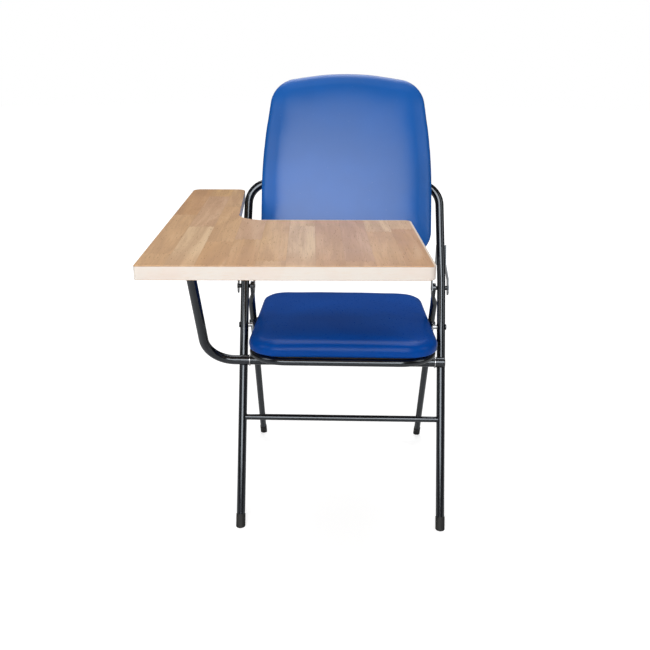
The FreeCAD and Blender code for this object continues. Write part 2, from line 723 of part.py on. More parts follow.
# Saddles on the front of the legs that the cross tube turns in.
for side in SIDES:
    low, high = flip(side, "saddle_start", "saddle_end")
    collar = rod("collar_%s" % side, "x", low, high, "-cross_before", "cross_rise",
                 "cross_diameter / 2 + run_clearance + saddle_thickness")
    pad = block("collar_pad_%s" % side, (low, high), ("-cross_before", "0"),
                ("cross_rise - saddle_pad / 2", "cross_rise + saddle_pad / 2"))
    bore = rod("collar_bore_%s" % side, "x", "%s - overrun" % low, "%s + overrun" % high, "-cross_before",
               "cross_rise", "cross_diameter / 2 + run_clearance")
    leg = rod("collar_leg_%s" % side, "z", "cross_rise - long_overrun", "cross_rise + long_overrun",
              signed(side, "leg_spread"), "0", "tube_diameter / 2")
    behind = block("collar_behind_%s" % side, ("%s - overrun" % low, "%s + overrun" % high),
                   ("-saddle_wrap", "overrun"),
                   ("cross_rise - saddle_pad", "cross_rise + saddle_pad"))
    node(cut("saddle_%s" % side, fuse("saddle_sheet_%s" % side, [collar, pad]), [bore, leg, behind]),
         "cross_tube_saddle_%s" % side, "front")

# Back rest: flat bars, board, cushion and screws.
bars, bar_holes, board_holes, screws = [], [], [], []
for side in SIDES:
    centre = signed(side, "upright_spread")
    bars.append(block("back_bar_%s" % side,
                      ("%s - upright_width / 2" % centre, "%s + upright_width / 2" % centre),
                      ("-tube_diameter / 2 - upright_thickness", "-tube_diameter / 2"),
                      ("upright_foot", "upright_top")))
    for level in ("low", "high"):
        z = "back_screw_%s" % level
        name = "%s_%s" % (level, side)
        face = "-tube_diameter / 2"
        tip = "%s - upright_thickness - back_screw_depth" % face
        screws.append(rod("back_head_" + name, "y", face, "%s + screw_head_thickness" % face, centre, z, "screw_head"))
        screws.append(rod("back_shank_" + name, "y", tip, face, centre, z, "screw_diameter / 2"))
        bar_holes.append(rod("bar_hole_" + name, "y", "%s - overrun" % face, "%s + overrun" % face, centre, z,
                             "screw_diameter / 2"))
        board_holes.append(rod("board_hole_" + name, "y", tip, "%s + overrun" % face, centre, z,
                               "screw_diameter / 2"))
node(cut("back_bars", fuse("back_bar_pair", bars), bar_holes), "back_support_bars", "front")
PAD = [("-(pad_half - pad_foot_round)", "pad_foot + pad_foot_round", "pad_foot_round"),
       ("pad_half - pad_foot_round", "pad_foot + pad_foot_round", "pad_foot_round"),
       ("pad_half - pad_side_bend", "pad_side_height", "pad_side_bend"),
       ("pad_shoulder_half", "pad_shoulder_height", "pad_shoulder_round"),
       ("0", "pad_top - pad_top_bend", "pad_top_bend"),
       ("-pad_shoulder_half", "pad_shoulder_height", "pad_shoulder_round"),
       ("pad_side_bend - pad_half", "pad_side_height", "pad_side_bend")]
panel = slab("back_panel", "XZ_Plane", "tube_diameter / 2 + upright_thickness", "back_board_thickness",
             lambda made: outline(made, PAD, "back_board_inset"))
node(cut("back_panel_drilled", panel, board_holes), "back_board", "front")
node(cushion("back_pad", "XZ_Plane", "tube_diameter / 2 + upright_thickness + back_board_thickness + soft_gap",
             "back_pad_height", PAD, "back_crown_inset"), "back_cushion", "front")
node(fuse("back_screw_set", screws), "back_screws", "front")

# Rear legs: x, y across the leg and z up the leg from the pivot.
slides = []
for side in SIDES:
    x = signed(side, "rear_spread")
    flat = signed(side, "flat_middle")
    body = doc.addObject("PartDesign::Body", "rear_tube_%s" % side)
    ring = sketch(body, "rear_ring_%s" % side, "XY_Plane", "rear_start - rear_reach")
    circle(ring, x, "0", "rear_diameter / 2")
    circle(ring, x, "0", "rear_diameter / 2 - rear_wall")
    shaft = body.newObject("PartDesign::Pad", "rear_shaft_%s" % side)
    shaft.Profile = ring
    bind(shaft, "Length", "rear_reach - rear_start - round_drop")
    neck = sketch(body, "rear_neck_%s" % side, "XY_Plane", "-round_drop")
    outline(neck, [("%s - round_facet" % x, "-round_facet", "rear_diameter / 2 - round_facet"),
                   ("%s + round_facet" % x, "-round_facet", "rear_diameter / 2 - round_facet"),
                   ("%s + round_facet" % x, "round_facet", "rear_diameter / 2 - round_facet"),
                   ("%s - round_facet" % x, "round_facet", "rear_diameter / 2 - round_facet")])
    press = sketch(body, "rear_press_%s" % side, "XY_Plane", "-flat_drop")
    half_thin = "flat_thickness / 2 - flat_rounding"
    half_wide = "flat_width / 2 - flat_rounding"
    outline(press, [("%s - (%s)" % (flat, half_thin), "-(%s)" % half_wide, "flat_rounding"),
                    ("%s + (%s)" % (flat, half_thin), "-(%s)" % half_wide, "flat_rounding"),
                    ("%s + (%s)" % (flat, half_thin), half_wide, "flat_rounding"),
                    ("%s - (%s)" % (flat, half_thin), half_wide, "flat_rounding")])
    loft = body.newObject("PartDesign::AdditiveLoft", "rear_loft_%s" % side)
    loft.Profile = neck
    loft.Sections = [press]
    low, high = flip(side, "flat_middle - flat_thickness / 2", "flat_middle + flat_thickness / 2")
    eye = sketch(body, "rear_eye_%s" % side, "YZ_Plane", low)
    outline(eye, [("-(%s)" % half_wide, "-flat_drop", "flat_rounding"),
                  (half_wide, "-flat_drop", "flat_rounding"), ("0", "0", "flat_width / 2")])
    pad = body.newObject("PartDesign::Pad", "rear_flat_%s" % side)
    pad.Profile = eye
    bind(pad, "Length", "flat_thickness")
    low, high = flip(side, "flat_middle - overrun", "flat_middle + overrun")
    pivot_hole = rod("rear_hole_%s" % side, "x", low, high, "0", "0", "rivet_diameter / 2 + run_clearance")
    slide_hole = rod("slide_hole_%s" % side, "x", low, high, "0", "-slide_drop", "rivet_diameter / 2")
    node(cut("rear_leg_cut_%s" % side, body, [pivot_hole, slide_hole]), "rear_leg_%s" % side, "rear")
    low, high = flip(side, "slide_inner", "rear_spread + rear_diameter / 2")
    slides.append(rod("slide_shank_%s" % side, "x", low, high, "0", "-slide_drop", "rivet_diameter / 2"))
    low, high = flip(side, "rear_spread + rear_diameter / 2",
                     "rear_spread + rear_diameter / 2 + rivet_head_thickness")
    slides.append(rod("slide_head_%s" % side, "x", low, high, "0", "-slide_drop", "rivet_head * slide_head_share"))
node(stretcher("rear_low_bar", "rear_spread", "stretcher_diameter", "-rear_stretcher_drop", "rear_diameter"),
     "rear_stretcher", "rear")
node(foot_caps("rear_caps", "rear_spread", "rear_diameter", "rear_start", "-rear_reach", "-rear_angle"),
     "rear_foot_caps", "rear")
node(fuse("slide_rivets", slides), "seat_slide_rivets", "rear")

# Seat: x, y to the back and z up from the seat pivot.
RAIL = [
    ("run", "rail_back + rail_front - rail_bend"),
    ("bend", "rail_bend", "90", 1),
    ("run", "2 * (rail_spread - rail_bend)"),
    ("bend", "rail_bend", "90", 1),
    ("run", "rail_back + rail_front - rail_bend"),
]
RAIL_START = ("XZ_Plane", "-rail_back", "-rail_spread", "-rail_drop")
rail = tube("rail", "XY_Plane", "-rail_drop", "-rail_spread", "rail_back", 270, RAIL, RAIL_START,
            "rail_diameter", "rail_wall")
rail_bulk = tube("rail_bulk", "XY_Plane", "-rail_drop", "-rail_spread", "rail_back", 270, RAIL, RAIL_START,
                 "rail_diameter")
node(rail, "seat_frame_tube", "seat")
rear_bar = rod("rear_bar", "x", "-rail_spread", "rail_spread", "rear_tie_back", "-rail_drop",
               "stretcher_diameter / 2")
bar_ends = [rod("rear_bar_end_%s" % side, "y", "rear_tie_back - long_overrun", "rear_tie_back + long_overrun",
                signed(side, "rail_spread"), "-rail_drop", "rail_diameter / 2") for side in SIDES]
node(cut("rear_bar_cut", rear_bar, bar_ends), "seat_rear_bar", "seat")
plugs = []
for side in SIDES:
    x = signed(side, "rail_spread")
    plugs.append(rod("plug_stem_%s" % side, "y", "rail_back - end_plug_length", "rail_back", x, "-rail_drop",
                     "rail_diameter / 2 - rail_wall"))
    plugs.append(rod("plug_head_%s" % side, "y", "rail_back", "rail_back + end_cap_thickness", x, "-rail_drop",
                     "rail_diameter / 2"))
node(fuse("rail_plugs", plugs), "seat_rail_plugs", "seat")
straps, strap_holes, seat_holes, screws = [], [], [], []
board_foot = "-rail_drop + rail_diameter / 2 - seat_board_thickness"
for place, y in (("front", "-strap_front"), ("back", "strap_back")):
    straps.append(block("strap_" + place, ("-rail_spread", "rail_spread"),
                        ("%s - strap_width / 2" % y, "%s + strap_width / 2" % y),
                        ("%s - strap_thickness" % board_foot, board_foot)))
    for side in SIDES:
        x = signed(side, "seat_screw_spread")
        name = "%s_%s" % (place, side)
        face = "%s - strap_thickness" % board_foot
        tip = "%s + screw_depth" % board_foot
        screws.append(rod("seat_head_" + name, "z", "%s - screw_head_thickness" % face, face, x, y, "screw_head"))
        screws.append(rod("seat_shank_" + name, "z", face, tip, x, y, "screw_diameter / 2"))
        strap_holes.append(rod("strap_hole_" + name, "z", "%s - overrun" % face, "%s + overrun" % face, x, y,
                               "screw_diameter / 2"))
        seat_holes.append(rod("seat_hole_" + name, "z", "%s - overrun" % face, tip, x, y, "screw_diameter / 2"))
node(cut("straps", fuse("strap_pair", straps), strap_holes + [rail_bulk]), "seat_cross_straps", "seat")
SEAT_BOARD = [("-(rail_spread - rail_bend)", "rail_bend - rail_front", "rail_bend - rail_diameter / 2 - board_gap"),
              ("rail_spread - rail_bend", "rail_bend - rail_front", "rail_bend - rail_diameter / 2 - board_gap"),
              ("rail_spread - rail_diameter / 2 - board_gap - board_corner",
               "rear_tie_back - stretcher_diameter / 2 - board_gap - board_corner", "board_corner"),
              ("-(rail_spread - rail_diameter / 2 - board_gap - board_corner)",
               "rear_tie_back - stretcher_diameter / 2 - board_gap - board_corner", "board_corner")]
seat_panel = slab("seat_panel", "XY_Plane", board_foot, "seat_board_thickness",
                  lambda made: outline(made, SEAT_BOARD))
node(cut("seat_panel_drilled", seat_panel, seat_holes), "seat_board", "seat")
SEAT_PAD = [("-(seat_pad_half - seat_pad_front_round)", "seat_pad_front_round - seat_pad_front",
             "seat_pad_front_round"),
            ("seat_pad_half - seat_pad_front_round", "seat_pad_front_round - seat_pad_front",
             "seat_pad_front_round"),
            ("seat_pad_rear_half - seat_pad_back_round", "seat_pad_back - seat_pad_back_round",
             "seat_pad_back_round"),
            ("-(seat_pad_rear_half - seat_pad_back_round)", "seat_pad_back - seat_pad_back_round",
             "seat_pad_back_round")]
node(cushion("seat_pad", "XY_Plane", "rail_diameter / 2 + soft_gap - rail_drop", "seat_pad_height", SEAT_PAD,
             "seat_crown_inset"), "seat_cushion", "seat")
node(fuse("seat_screw_set", screws), "seat_screws", "seat")
for side in SIDES:
    low, high = flip(side, "rail_spread + rail_diameter / 2", "rail_spread + rail_diameter / 2 + plate_thickness")
    plate = slab("plate_%s" % side, "YZ_Plane", low, "plate_thickness", lambda made: outline(made, [
        ("-plate_front", "-plate_front_drop", "plate_front_round"),
        ("slide_far * cos(slide_angle)", "-slide_far * sin(slide_angle)", "plate_back_round"),
        ("0", "0", "plate_ear")]))
    slot = sketch(plate, "plate_slot_%s" % side, "YZ_Plane", high)
    outline(slot, [("slide_near * cos(slide_angle)", "-slide_near * sin(slide_angle)", "slide_width / 2"),
                   ("slide_far * cos(slide_angle)", "-slide_far * sin(slide_angle)", "slide_width / 2")])
    pocket = plate.newObject("PartDesign::Pocket", "plate_pocket_%s" % side)
    pocket.Profile = slot
    bind(pocket, "Length", "plate_thickness")
    hole = rod("plate_hole_%s" % side, "x", "%s - overrun" % low, "%s + overrun" % high, "0", "0",
               "rivet_diameter / 2 + run_clearance")
    node(cut("plate_cut_%s" % side, plate, [hole]), "seat_side_plate_%s" % side, "seat")

# Tablet support: x and height along the tube from the cross axis.
ARM = [
    ("run", "cross_end + arm_bend_start"),
    ("bend", "arm_bend", "90 - arm_flare_angle", -1),
    ("run", "arm_run + overrun"),
]
arm = tube("arm", "XZ_Plane", "0", "cross_end", "0", 180, ARM, ("YZ_Plane", "cross_end", "0", "0"),
           "cross_diameter", "cross_wall")
arm_height = "(arm_top - cross_z) / cos(arm_angle)"
lid = doc.addObject("Part::Box", "arm_lid")
bind(lid, "Length", "lid_size")
bind(lid, "Width", "lid_size")
bind(lid, "Height", "lid_size")
lid.Placement = FreeCAD.Placement(FreeCAD.Vector(0, 0, 0), FreeCAD.Rotation(-X_AXIS, value("arm_angle")))
bind(lid, "Placement.Rotation.Angle", "arm_angle")
move(lid, "-arm_bend_start - arm_bend - lid_size / 2", "-lid_size / 2 * cos(arm_angle)",
     "%s + lid_size / 2 * sin(arm_angle)" % arm_height)
node(cut("arm_cut", arm, [lid]), "tablet_support_tube", "support")
rings, ring_bores = [], []
for side in SIDES:
    low, high = flip(side, "ring_start", "ring_start + ring_thickness")
    rings.append(rod("ring_%s" % side, "x", low, high, "0", "0", "ring_outer"))
    ring_bores.append(rod("ring_bore_%s" % side, "x", "%s - overrun" % low, "%s + overrun" % high, "0", "0",
                          "cross_diameter / 2"))
node(cut("ring_pair", fuse("ring_discs", rings), ring_bores), "cross_tube_rings", "support")
cap_parts = [rod("cap_stem", "x", "cross_end - end_plug_length", "cross_end", "0", "0",
                 "cross_diameter / 2 - cross_wall"),
             rod("cap_head", "x", "cross_end", "cross_end + end_cap_thickness", "0", "0", "cross_diameter / 2")]
node(fuse("cap_plug", cap_parts), "cross_tube_cap", "support")

# Hinge under the board: across, along and height in the frame of the board.
pin_across = "hinge_inset"
pin_height = "-hinge_drop"
bed = [block("bed_plate", ("leaf_start", "bed_reach"), ("bed_front", "bed_back"),
             ("-bed_drop", "bed_thickness - bed_drop"))]
bed_bores = []
for place, start, end in (("front", "hinge_front", "hinge_middle_front - side_clearance"),
                          ("back", "hinge_middle_back + side_clearance", "hinge_back")):
    bed.append(rod("bed_knuckle_" + place, "y", start, end, pin_across, pin_height, "knuckle_radius"))
    bed.append(block("bed_neck_" + place, (pin_across, "leaf_start + bed_thickness"), (start, end),
                     ("neck_step - bed_drop", "bed_thickness - bed_drop")))
bed_bores.append(rod("bed_bore", "y", "hinge_front - overrun", "hinge_back + overrun", pin_across, pin_height,
                     "pin_radius"))
node(cut("bed", fuse("bed_sheet", bed), bed_bores), "tablet_support_plate", "table")
pins = [rod("pin_shank", "y", "hinge_front", "hinge_back", pin_across, pin_height, "pin_radius"),
        rod("pin_head_front", "y", "hinge_front - pin_head_thickness", "hinge_front", pin_across, pin_height,
            "pin_head_radius"),
        rod("pin_head_back", "y", "hinge_back", "hinge_back + pin_head_thickness", pin_across, pin_height,
            "pin_head_radius")]
node(fuse("pin_parts", pins), "tablet_hinge_pin", "table")
bumpers = [rod("bumper_" + place, "z", "bed_thickness - bed_drop", "-leaf_thickness - side_clearance",
               "bumper_reach", "bumper_" + place, "bumper_radius") for place in ("front", "back")]
node(fuse("bumper_pair", bumpers), "tablet_stop_pads", "table")
leaf = [block("leaf_plate", ("leaf_start", "leaf_reach"), ("bed_front", "bed_back"), ("-leaf_thickness", "0")),
        rod("leaf_knuckle", "y", "hinge_middle_front", "hinge_middle_back", pin_across, pin_height,
            "knuckle_radius"),
        block("leaf_neck", (pin_across, "leaf_start + leaf_thickness"), ("hinge_middle_front", "hinge_middle_back"),
              ("-leaf_thickness", "-neck_step"))]
leaf_bores = [rod("leaf_bore", "y", "hinge_front", "hinge_back", pin_across, pin_height,
                  "pin_radius + run_clearance")]
screws, board_holes = [], []
for across in ("near", "far"):
    for along in ("front", "back"):
        x, y = "leaf_screw_" + across, "leaf_screw_" + along
        name = "%s_%s" % (across, along)
        screws.append(rod("leaf_head_" + name, "z", "-leaf_thickness - leaf_screw_head_thickness",
                          "-leaf_thickness", x, y, "screw_head"))
        screws.append(rod("leaf_shank_" + name, "z", "-leaf_thickness", "leaf_screw_depth", x, y,
                          "screw_diameter / 2"))
        leaf_bores.append(rod("leaf_hole_" + name, "z", "-leaf_thickness - overrun", "overrun", x, y,
                              "screw_diameter / 2"))
        board_holes.append(rod("table_hole_" + name, "z", "-overrun", "leaf_screw_depth", x, y,
                               "screw_diameter / 2"))
node(cut("leaf", fuse("leaf_sheet", leaf), leaf_bores), "tablet_hinge_leaf", "table")
node(fuse("leaf_screws", screws), "tablet_screws", "table")

# Writing board: width, depth and thickness.
TABLE = [("table_corner_near", "table_corner_near", "table_corner_near"),
         ("table_width - table_corner_right", "table_corner_right", "table_corner_right"),
         ("table_width - table_corner_inner", "table_depth - table_corner_inner", "table_corner_inner"),
         ("table_arm_front + table_hollow", "table_depth + table_hollow", "table_hollow", -1),
         ("table_arm_rear - table_corner_arm", "table_length - table_corner_arm", "table_corner_arm"),
         ("table_corner_arm", "table_length - table_corner_arm", "table_corner_arm")]
table = slab("table", "XY_Plane", "0", "table_thickness", lambda made: outline(made, TABLE))
doc.recompute()
table_pad = table.Tip
faces = (0.0, value("table_thickness"))
near = value("edge_tolerance")
rims = []
for index, edge in enumerate(table_pad.Shape.Edges, start=1):
    box = edge.BoundBox
    if box.ZLength < near and min(abs(box.ZMin - face) for face in faces) < near:
        rims.append("Edge%d" % index)
rounding = table.newObject("PartDesign::Fillet", "table_rounding_edges")
rounding.Base = (table_pad, rims)
bind(rounding, "Radius", "table_rounding")
node(cut("table_drilled", table, board_holes), "tablet_board", "table")

# Put the origin under the middle of the box round the whole chair.
doc.recompute()
whole = FreeCAD.BoundBox()
for piece in nodes:
    whole.add(piece.Shape.optimalBoundingBox(False, False))
sizes.set(sizes.getCellFromAlias("origin_x"), repr(round(whole.Center.x, 3)))
sizes.set(sizes.getCellFromAlias("origin_y"), repr(round(whole.Center.y, 3)))
doc.recompute()

os.makedirs("parts", exist_ok=True)
for piece in doc.Objects:
    if "Invalid" in piece.State or "Error" in piece.State:
        raise RuntimeError("%s is %s" % (piece.Name, piece.State))
for piece in nodes:
    if piece.Shape.isNull() or not piece.Shape.isValid():
        raise RuntimeError("%s has no valid shape" % piece.Label)
    if piece.Shape.Volume <= 0:
        raise RuntimeError("%s has no volume" % piece.Label)
    piece.Shape.exportStep("parts/%s.step" % piece.Label)
whole = FreeCAD.BoundBox()
for piece in nodes:
    whole.add(piece.Shape.optimalBoundingBox(False, False))
print("nodes %d, box %.1f %.1f %.1f to %.1f %.1f %.1f" % (
    len(nodes), whole.XMin, whole.YMin, whole.ZMin, whole.XMax, whole.YMax, whole.ZMax))
for word in ("origin_x", "origin_y", "pivot_y", "pivot_z", "seat_pivot_y", "seat_pivot_z", "cross_y", "cross_z"):
    print(word, round(value(word), 3))
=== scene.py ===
import json
import logging
import math
from dataclasses import dataclass, field
from enum import Enum
from typing import Iterable, Optional, Sequence, Union

import bmesh
import bpy
from mathutils import Matrix, Vector, geometry

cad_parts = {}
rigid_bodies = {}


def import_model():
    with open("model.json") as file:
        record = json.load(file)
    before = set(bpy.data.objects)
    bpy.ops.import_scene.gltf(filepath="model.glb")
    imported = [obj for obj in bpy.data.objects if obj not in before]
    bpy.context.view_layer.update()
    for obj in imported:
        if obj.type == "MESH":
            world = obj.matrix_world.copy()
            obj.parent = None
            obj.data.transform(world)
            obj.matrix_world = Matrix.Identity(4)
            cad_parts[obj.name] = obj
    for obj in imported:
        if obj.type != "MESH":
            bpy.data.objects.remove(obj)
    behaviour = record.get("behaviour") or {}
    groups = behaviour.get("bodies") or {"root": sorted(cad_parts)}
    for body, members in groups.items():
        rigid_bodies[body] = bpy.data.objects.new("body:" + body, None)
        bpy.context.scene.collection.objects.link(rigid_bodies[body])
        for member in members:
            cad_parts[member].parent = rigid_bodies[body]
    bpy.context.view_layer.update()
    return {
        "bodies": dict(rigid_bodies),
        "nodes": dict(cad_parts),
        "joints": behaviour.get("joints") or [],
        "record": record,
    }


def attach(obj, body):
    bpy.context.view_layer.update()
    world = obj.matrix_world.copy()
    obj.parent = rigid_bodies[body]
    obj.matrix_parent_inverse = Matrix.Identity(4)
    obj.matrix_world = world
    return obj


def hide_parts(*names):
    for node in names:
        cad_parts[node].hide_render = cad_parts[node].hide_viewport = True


LOG = logging.getLogger("lecture_chair")
PHOTO_WIDTH = 650

Number = Union[int, float]
Colour = tuple[float, float, float]


class Value:
    """A socket that Python's operators extend with Math nodes."""

    def __init__(self, graph: "Graph", socket: bpy.types.NodeSocket) -> None:
        """Keep the socket and the graph that it belongs to."""
        self.graph = graph
        self.socket = socket

    def _math(self, operation: str, first: "Operand", second: "Operand" = 0.0) -> "Value":
        """Add a Math node.

        Args:
            operation: The node's operation.
            first: Its first input.
            second: Its second input.

        Returns:
            The node's result.
        """
        return self.graph.out("ShaderNodeMath", {"operation": operation}, {0: first, 1: second})

    def __add__(self, other: "Operand") -> "Value":
        """Return the sum."""
        return self._math("ADD", self, other)

    __radd__ = __add__

    def __sub__(self, other: "Operand") -> "Value":
        """Return the difference."""
        return self._math("SUBTRACT", self, other)

    def __rsub__(self, other: "Operand") -> "Value":
        """Return the difference from a number."""
        return self._math("SUBTRACT", other, self)

    def __mul__(self, other: "Operand") -> "Value":
        """Return the product."""
        return self._math("MULTIPLY", self, other)

    __rmul__ = __mul__

    def __truediv__(self, other: "Operand") -> "Value":
        """Return the quotient."""
        return self._math("DIVIDE", self, other)

    def __rtruediv__(self, other: "Operand") -> "Value":
        """Return the quotient of a number by this."""
        return self._math("DIVIDE", other, self)

    def __gt__(self, other: "Operand") -> "Value":
        """Return 1 where this is greater."""
        return self._math("GREATER_THAN", self, other)

    def __lt__(self, other: "Operand") -> "Value":
        """Return 1 where this is less."""
        return self._math("LESS_THAN", self, other)

    def floor(self) -> "Value":
        """Return the whole number below."""
        return self._math("FLOOR", self)

    def wave(self, scale: Number) -> "Value":
        """Return a triangle wave of this height."""
        return self._math("PINGPONG", self, scale)

    def steps(self, low: Number, high: Number) -> "Value":
        """Return a smooth step from 0 at low to 1 at high."""
        return self.graph.out("ShaderNodeMapRange", {"interpolation_type": "SMOOTHSTEP"},
                              {"Value": self, "From Min": low, "From Max": high})


Operand = Union[Value, Number]


class Graph:
    """The node tree of one material."""

    def __init__(self, name: str) -> None:
        """Make the material and its Principled shader.

        Args:
            name: The material's name.
        """
        self.material = bpy.data.materials.new(name)
        self.material.use_nodes = True
        self.tree = self.material.node_tree
        self.shader = self.tree.nodes["Principled BSDF"]
        self.place = self.out("ShaderNodeTexCoord", {}, {}, "Object")

    def node(self, kind: str, settings: dict[str, object],
             inputs: dict[Union[int, str], object]) -> bpy.types.Node:
        """Add a node.

        Args:
            kind: The node's type.
            settings: Its own settings; "stops" are a colour ramp's.
            inputs: Its sockets' values or links.

        Returns:
            The node.
        """
        made = self.tree.nodes.new(kind)
        for key, value in settings.items():
            if key == "stops":
                self._ramp(made, value)
            else:
                setattr(made, key, value)
        for key, value in inputs.items():
            self.link(value, made.inputs[key])
        return made

    def out(self, kind: str, settings: dict[str, object], inputs: dict[Union[int, str], object],
            output: Union[int, str] = 0) -> Value:
        """Add a node and return one of its outputs."""
        return Value(self, self.node(kind, settings, inputs).outputs[output])

    @staticmethod
    def _ramp(made: bpy.types.Node, stops: Sequence[tuple[float, Colour]]) -> None:
        """Set the stops of a colour ramp."""
        elements = made.color_ramp.elements
        while len(elements) > 1:
            elements.remove(elements[-1])
        for index, (position, colour) in enumerate(stops):
            element = elements[0] if index == 0 else elements.new(position)
            element.position = position
            element.color = (*colour, 1.0)

    def link(self, value: object, socket: bpy.types.NodeSocket) -> None:
        """Link a value to a socket, or set a constant there."""
        if isinstance(value, Value):
            self.tree.links.new(value.socket, socket)
        elif socket.type == "RGBA" and isinstance(value, tuple) and len(value) == 3:
            socket.default_value = (*value, 1.0)
        else:
            socket.default_value = value

    def mapped(self, scale: Sequence[float], turn: float = 0.0, shift: Sequence[float] = (0, 0, 0)) -> Value:
        """Return object coordinates that are moved, turned about Z and then scaled.

        Args:
            scale: The scale along each axis.
            turn: The turn about Z, in radians.
            shift: What is added to the coordinates first.

        Returns:
            The new coordinates.
        """
        moved = self.out("ShaderNodeMapping", {}, {"Vector": self.place, "Location": tuple(shift)})
        turned = self.out("ShaderNodeMapping", {}, {"Vector": moved, "Rotation": (0.0, 0.0, turn)})
        return self.out("ShaderNodeMapping", {}, {"Vector": turned, "Scale": tuple(scale)})

    def noise(self, vector: Value, scale: float, detail: float = 3.0, rough: float = 0.5) -> Value:
        """Return a noise from 0 to 1."""
        return self.out("ShaderNodeTexNoise", {},
                        {"Vector": vector, "Scale": scale, "Detail": detail, "Roughness": rough})

    def mix(self, factor: Operand, first: object, second: object) -> Value:
        """Mix two colours.

        Args:
            factor: How much of the second.
            first: A colour or a link.
            second: A colour or a link.

        Returns:
            The mixed colour.
        """
        made = self.tree.nodes.new("ShaderNodeMix")
        made.data_type = "RGBA"
        self.link(factor, made.inputs["Factor"])
        colours = [socket for socket in made.inputs if socket.type == "RGBA"]
        self.link(first, colours[0])
        self.link(second, colours[1])
        return Value(self, [socket for socket in made.outputs if socket.type == "RGBA"][0])

    def bump(self, height: Value, depth: float, strength: float = 1.0) -> Value:
        """Return a normal bumped by a height, with its depth in metres."""
        return self.out("ShaderNodeBump", {}, {"Height": height, "Distance": depth, "Strength": strength})

    def finish(self, **inputs: object) -> bpy.types.Material:
        """Set the shader's sockets by name, with words joined by underscores."""
        for key, value in inputs.items():
            self.link(value, self.shader.inputs[key.replace("_", " ")])
        return self.material


@dataclass(frozen=True)
class GlossBlack:
    """Semi-gloss black paint on steel tube."""

    name: str = "black_gloss_paint"
    colour: Colour = (0.004, 0.004, 0.005)
    worn: Colour = (0.008, 0.008, 0.012)
    dust: Colour = (0.06, 0.06, 0.065)
    tint: Colour = (0.84, 0.92, 1.0)
    roughness: float = 0.14
    peel_depth: float = 0.00002

    def build(self) -> bpy.types.Material:
        """Return the material."""
        graph = Graph(self.name)
        patches = graph.noise(graph.place, 14.0, 4.0)
        orange_peel = graph.noise(graph.place, 900.0, 2.0)
        flecks = graph.noise(graph.place, 380.0, 1.0).steps(0.68, 0.78)
        colour = graph.mix(patches.steps(0.35, 0.75) * 0.6, self.colour, self.worn)
        return graph.finish(Base_Color=graph.mix(flecks * 0.12, colour, self.dust),
                            Roughness=self.roughness + patches * 0.06 + flecks * 0.04,
                            Specular_IOR_Level=1.0,
                            Specular_Tint=self.tint,
                            Normal=graph.bump(orange_peel, self.peel_depth, 0.06))


@dataclass(frozen=True)
class Vinyl:
    """Soft blue vinyl with a fine pebble grain."""

    name: str
    colour: Colour
    deep: Colour
    roughness: float
    shine: float
    index: float
    speck: Colour = (0.25, 0.35, 0.6)
    grain_depth: float = 0.00012

    def build(self) -> bpy.types.Material:
        """Return the material."""
        graph = Graph(self.name)
        pebbles = graph.out("ShaderNodeTexVoronoi", {"feature": "F1"},
                            {"Vector": graph.place, "Scale": 620.0, "Randomness": 1.0}, "Distance")
        creases = graph.noise(graph.place, 260.0, 3.0)
        cloudy = graph.noise(graph.place, 7.0, 3.0)
        specks = graph.noise(graph.place, 150.0, 1.0).steps(0.74, 0.80)
        colour = graph.mix(cloudy.steps(0.3, 0.75), self.deep, self.colour)
        height = (1.0 - pebbles) * 0.7 + creases * 0.5
        return graph.finish(Base_Color=graph.mix(specks * 0.08, colour, self.speck),
                            Roughness=self.roughness + creases * 0.10 - specks * 0.05,
                            Specular_IOR_Level=self.shine,
                            IOR=self.index,
                            Normal=graph.bump(height, self.grain_depth, 0.4))


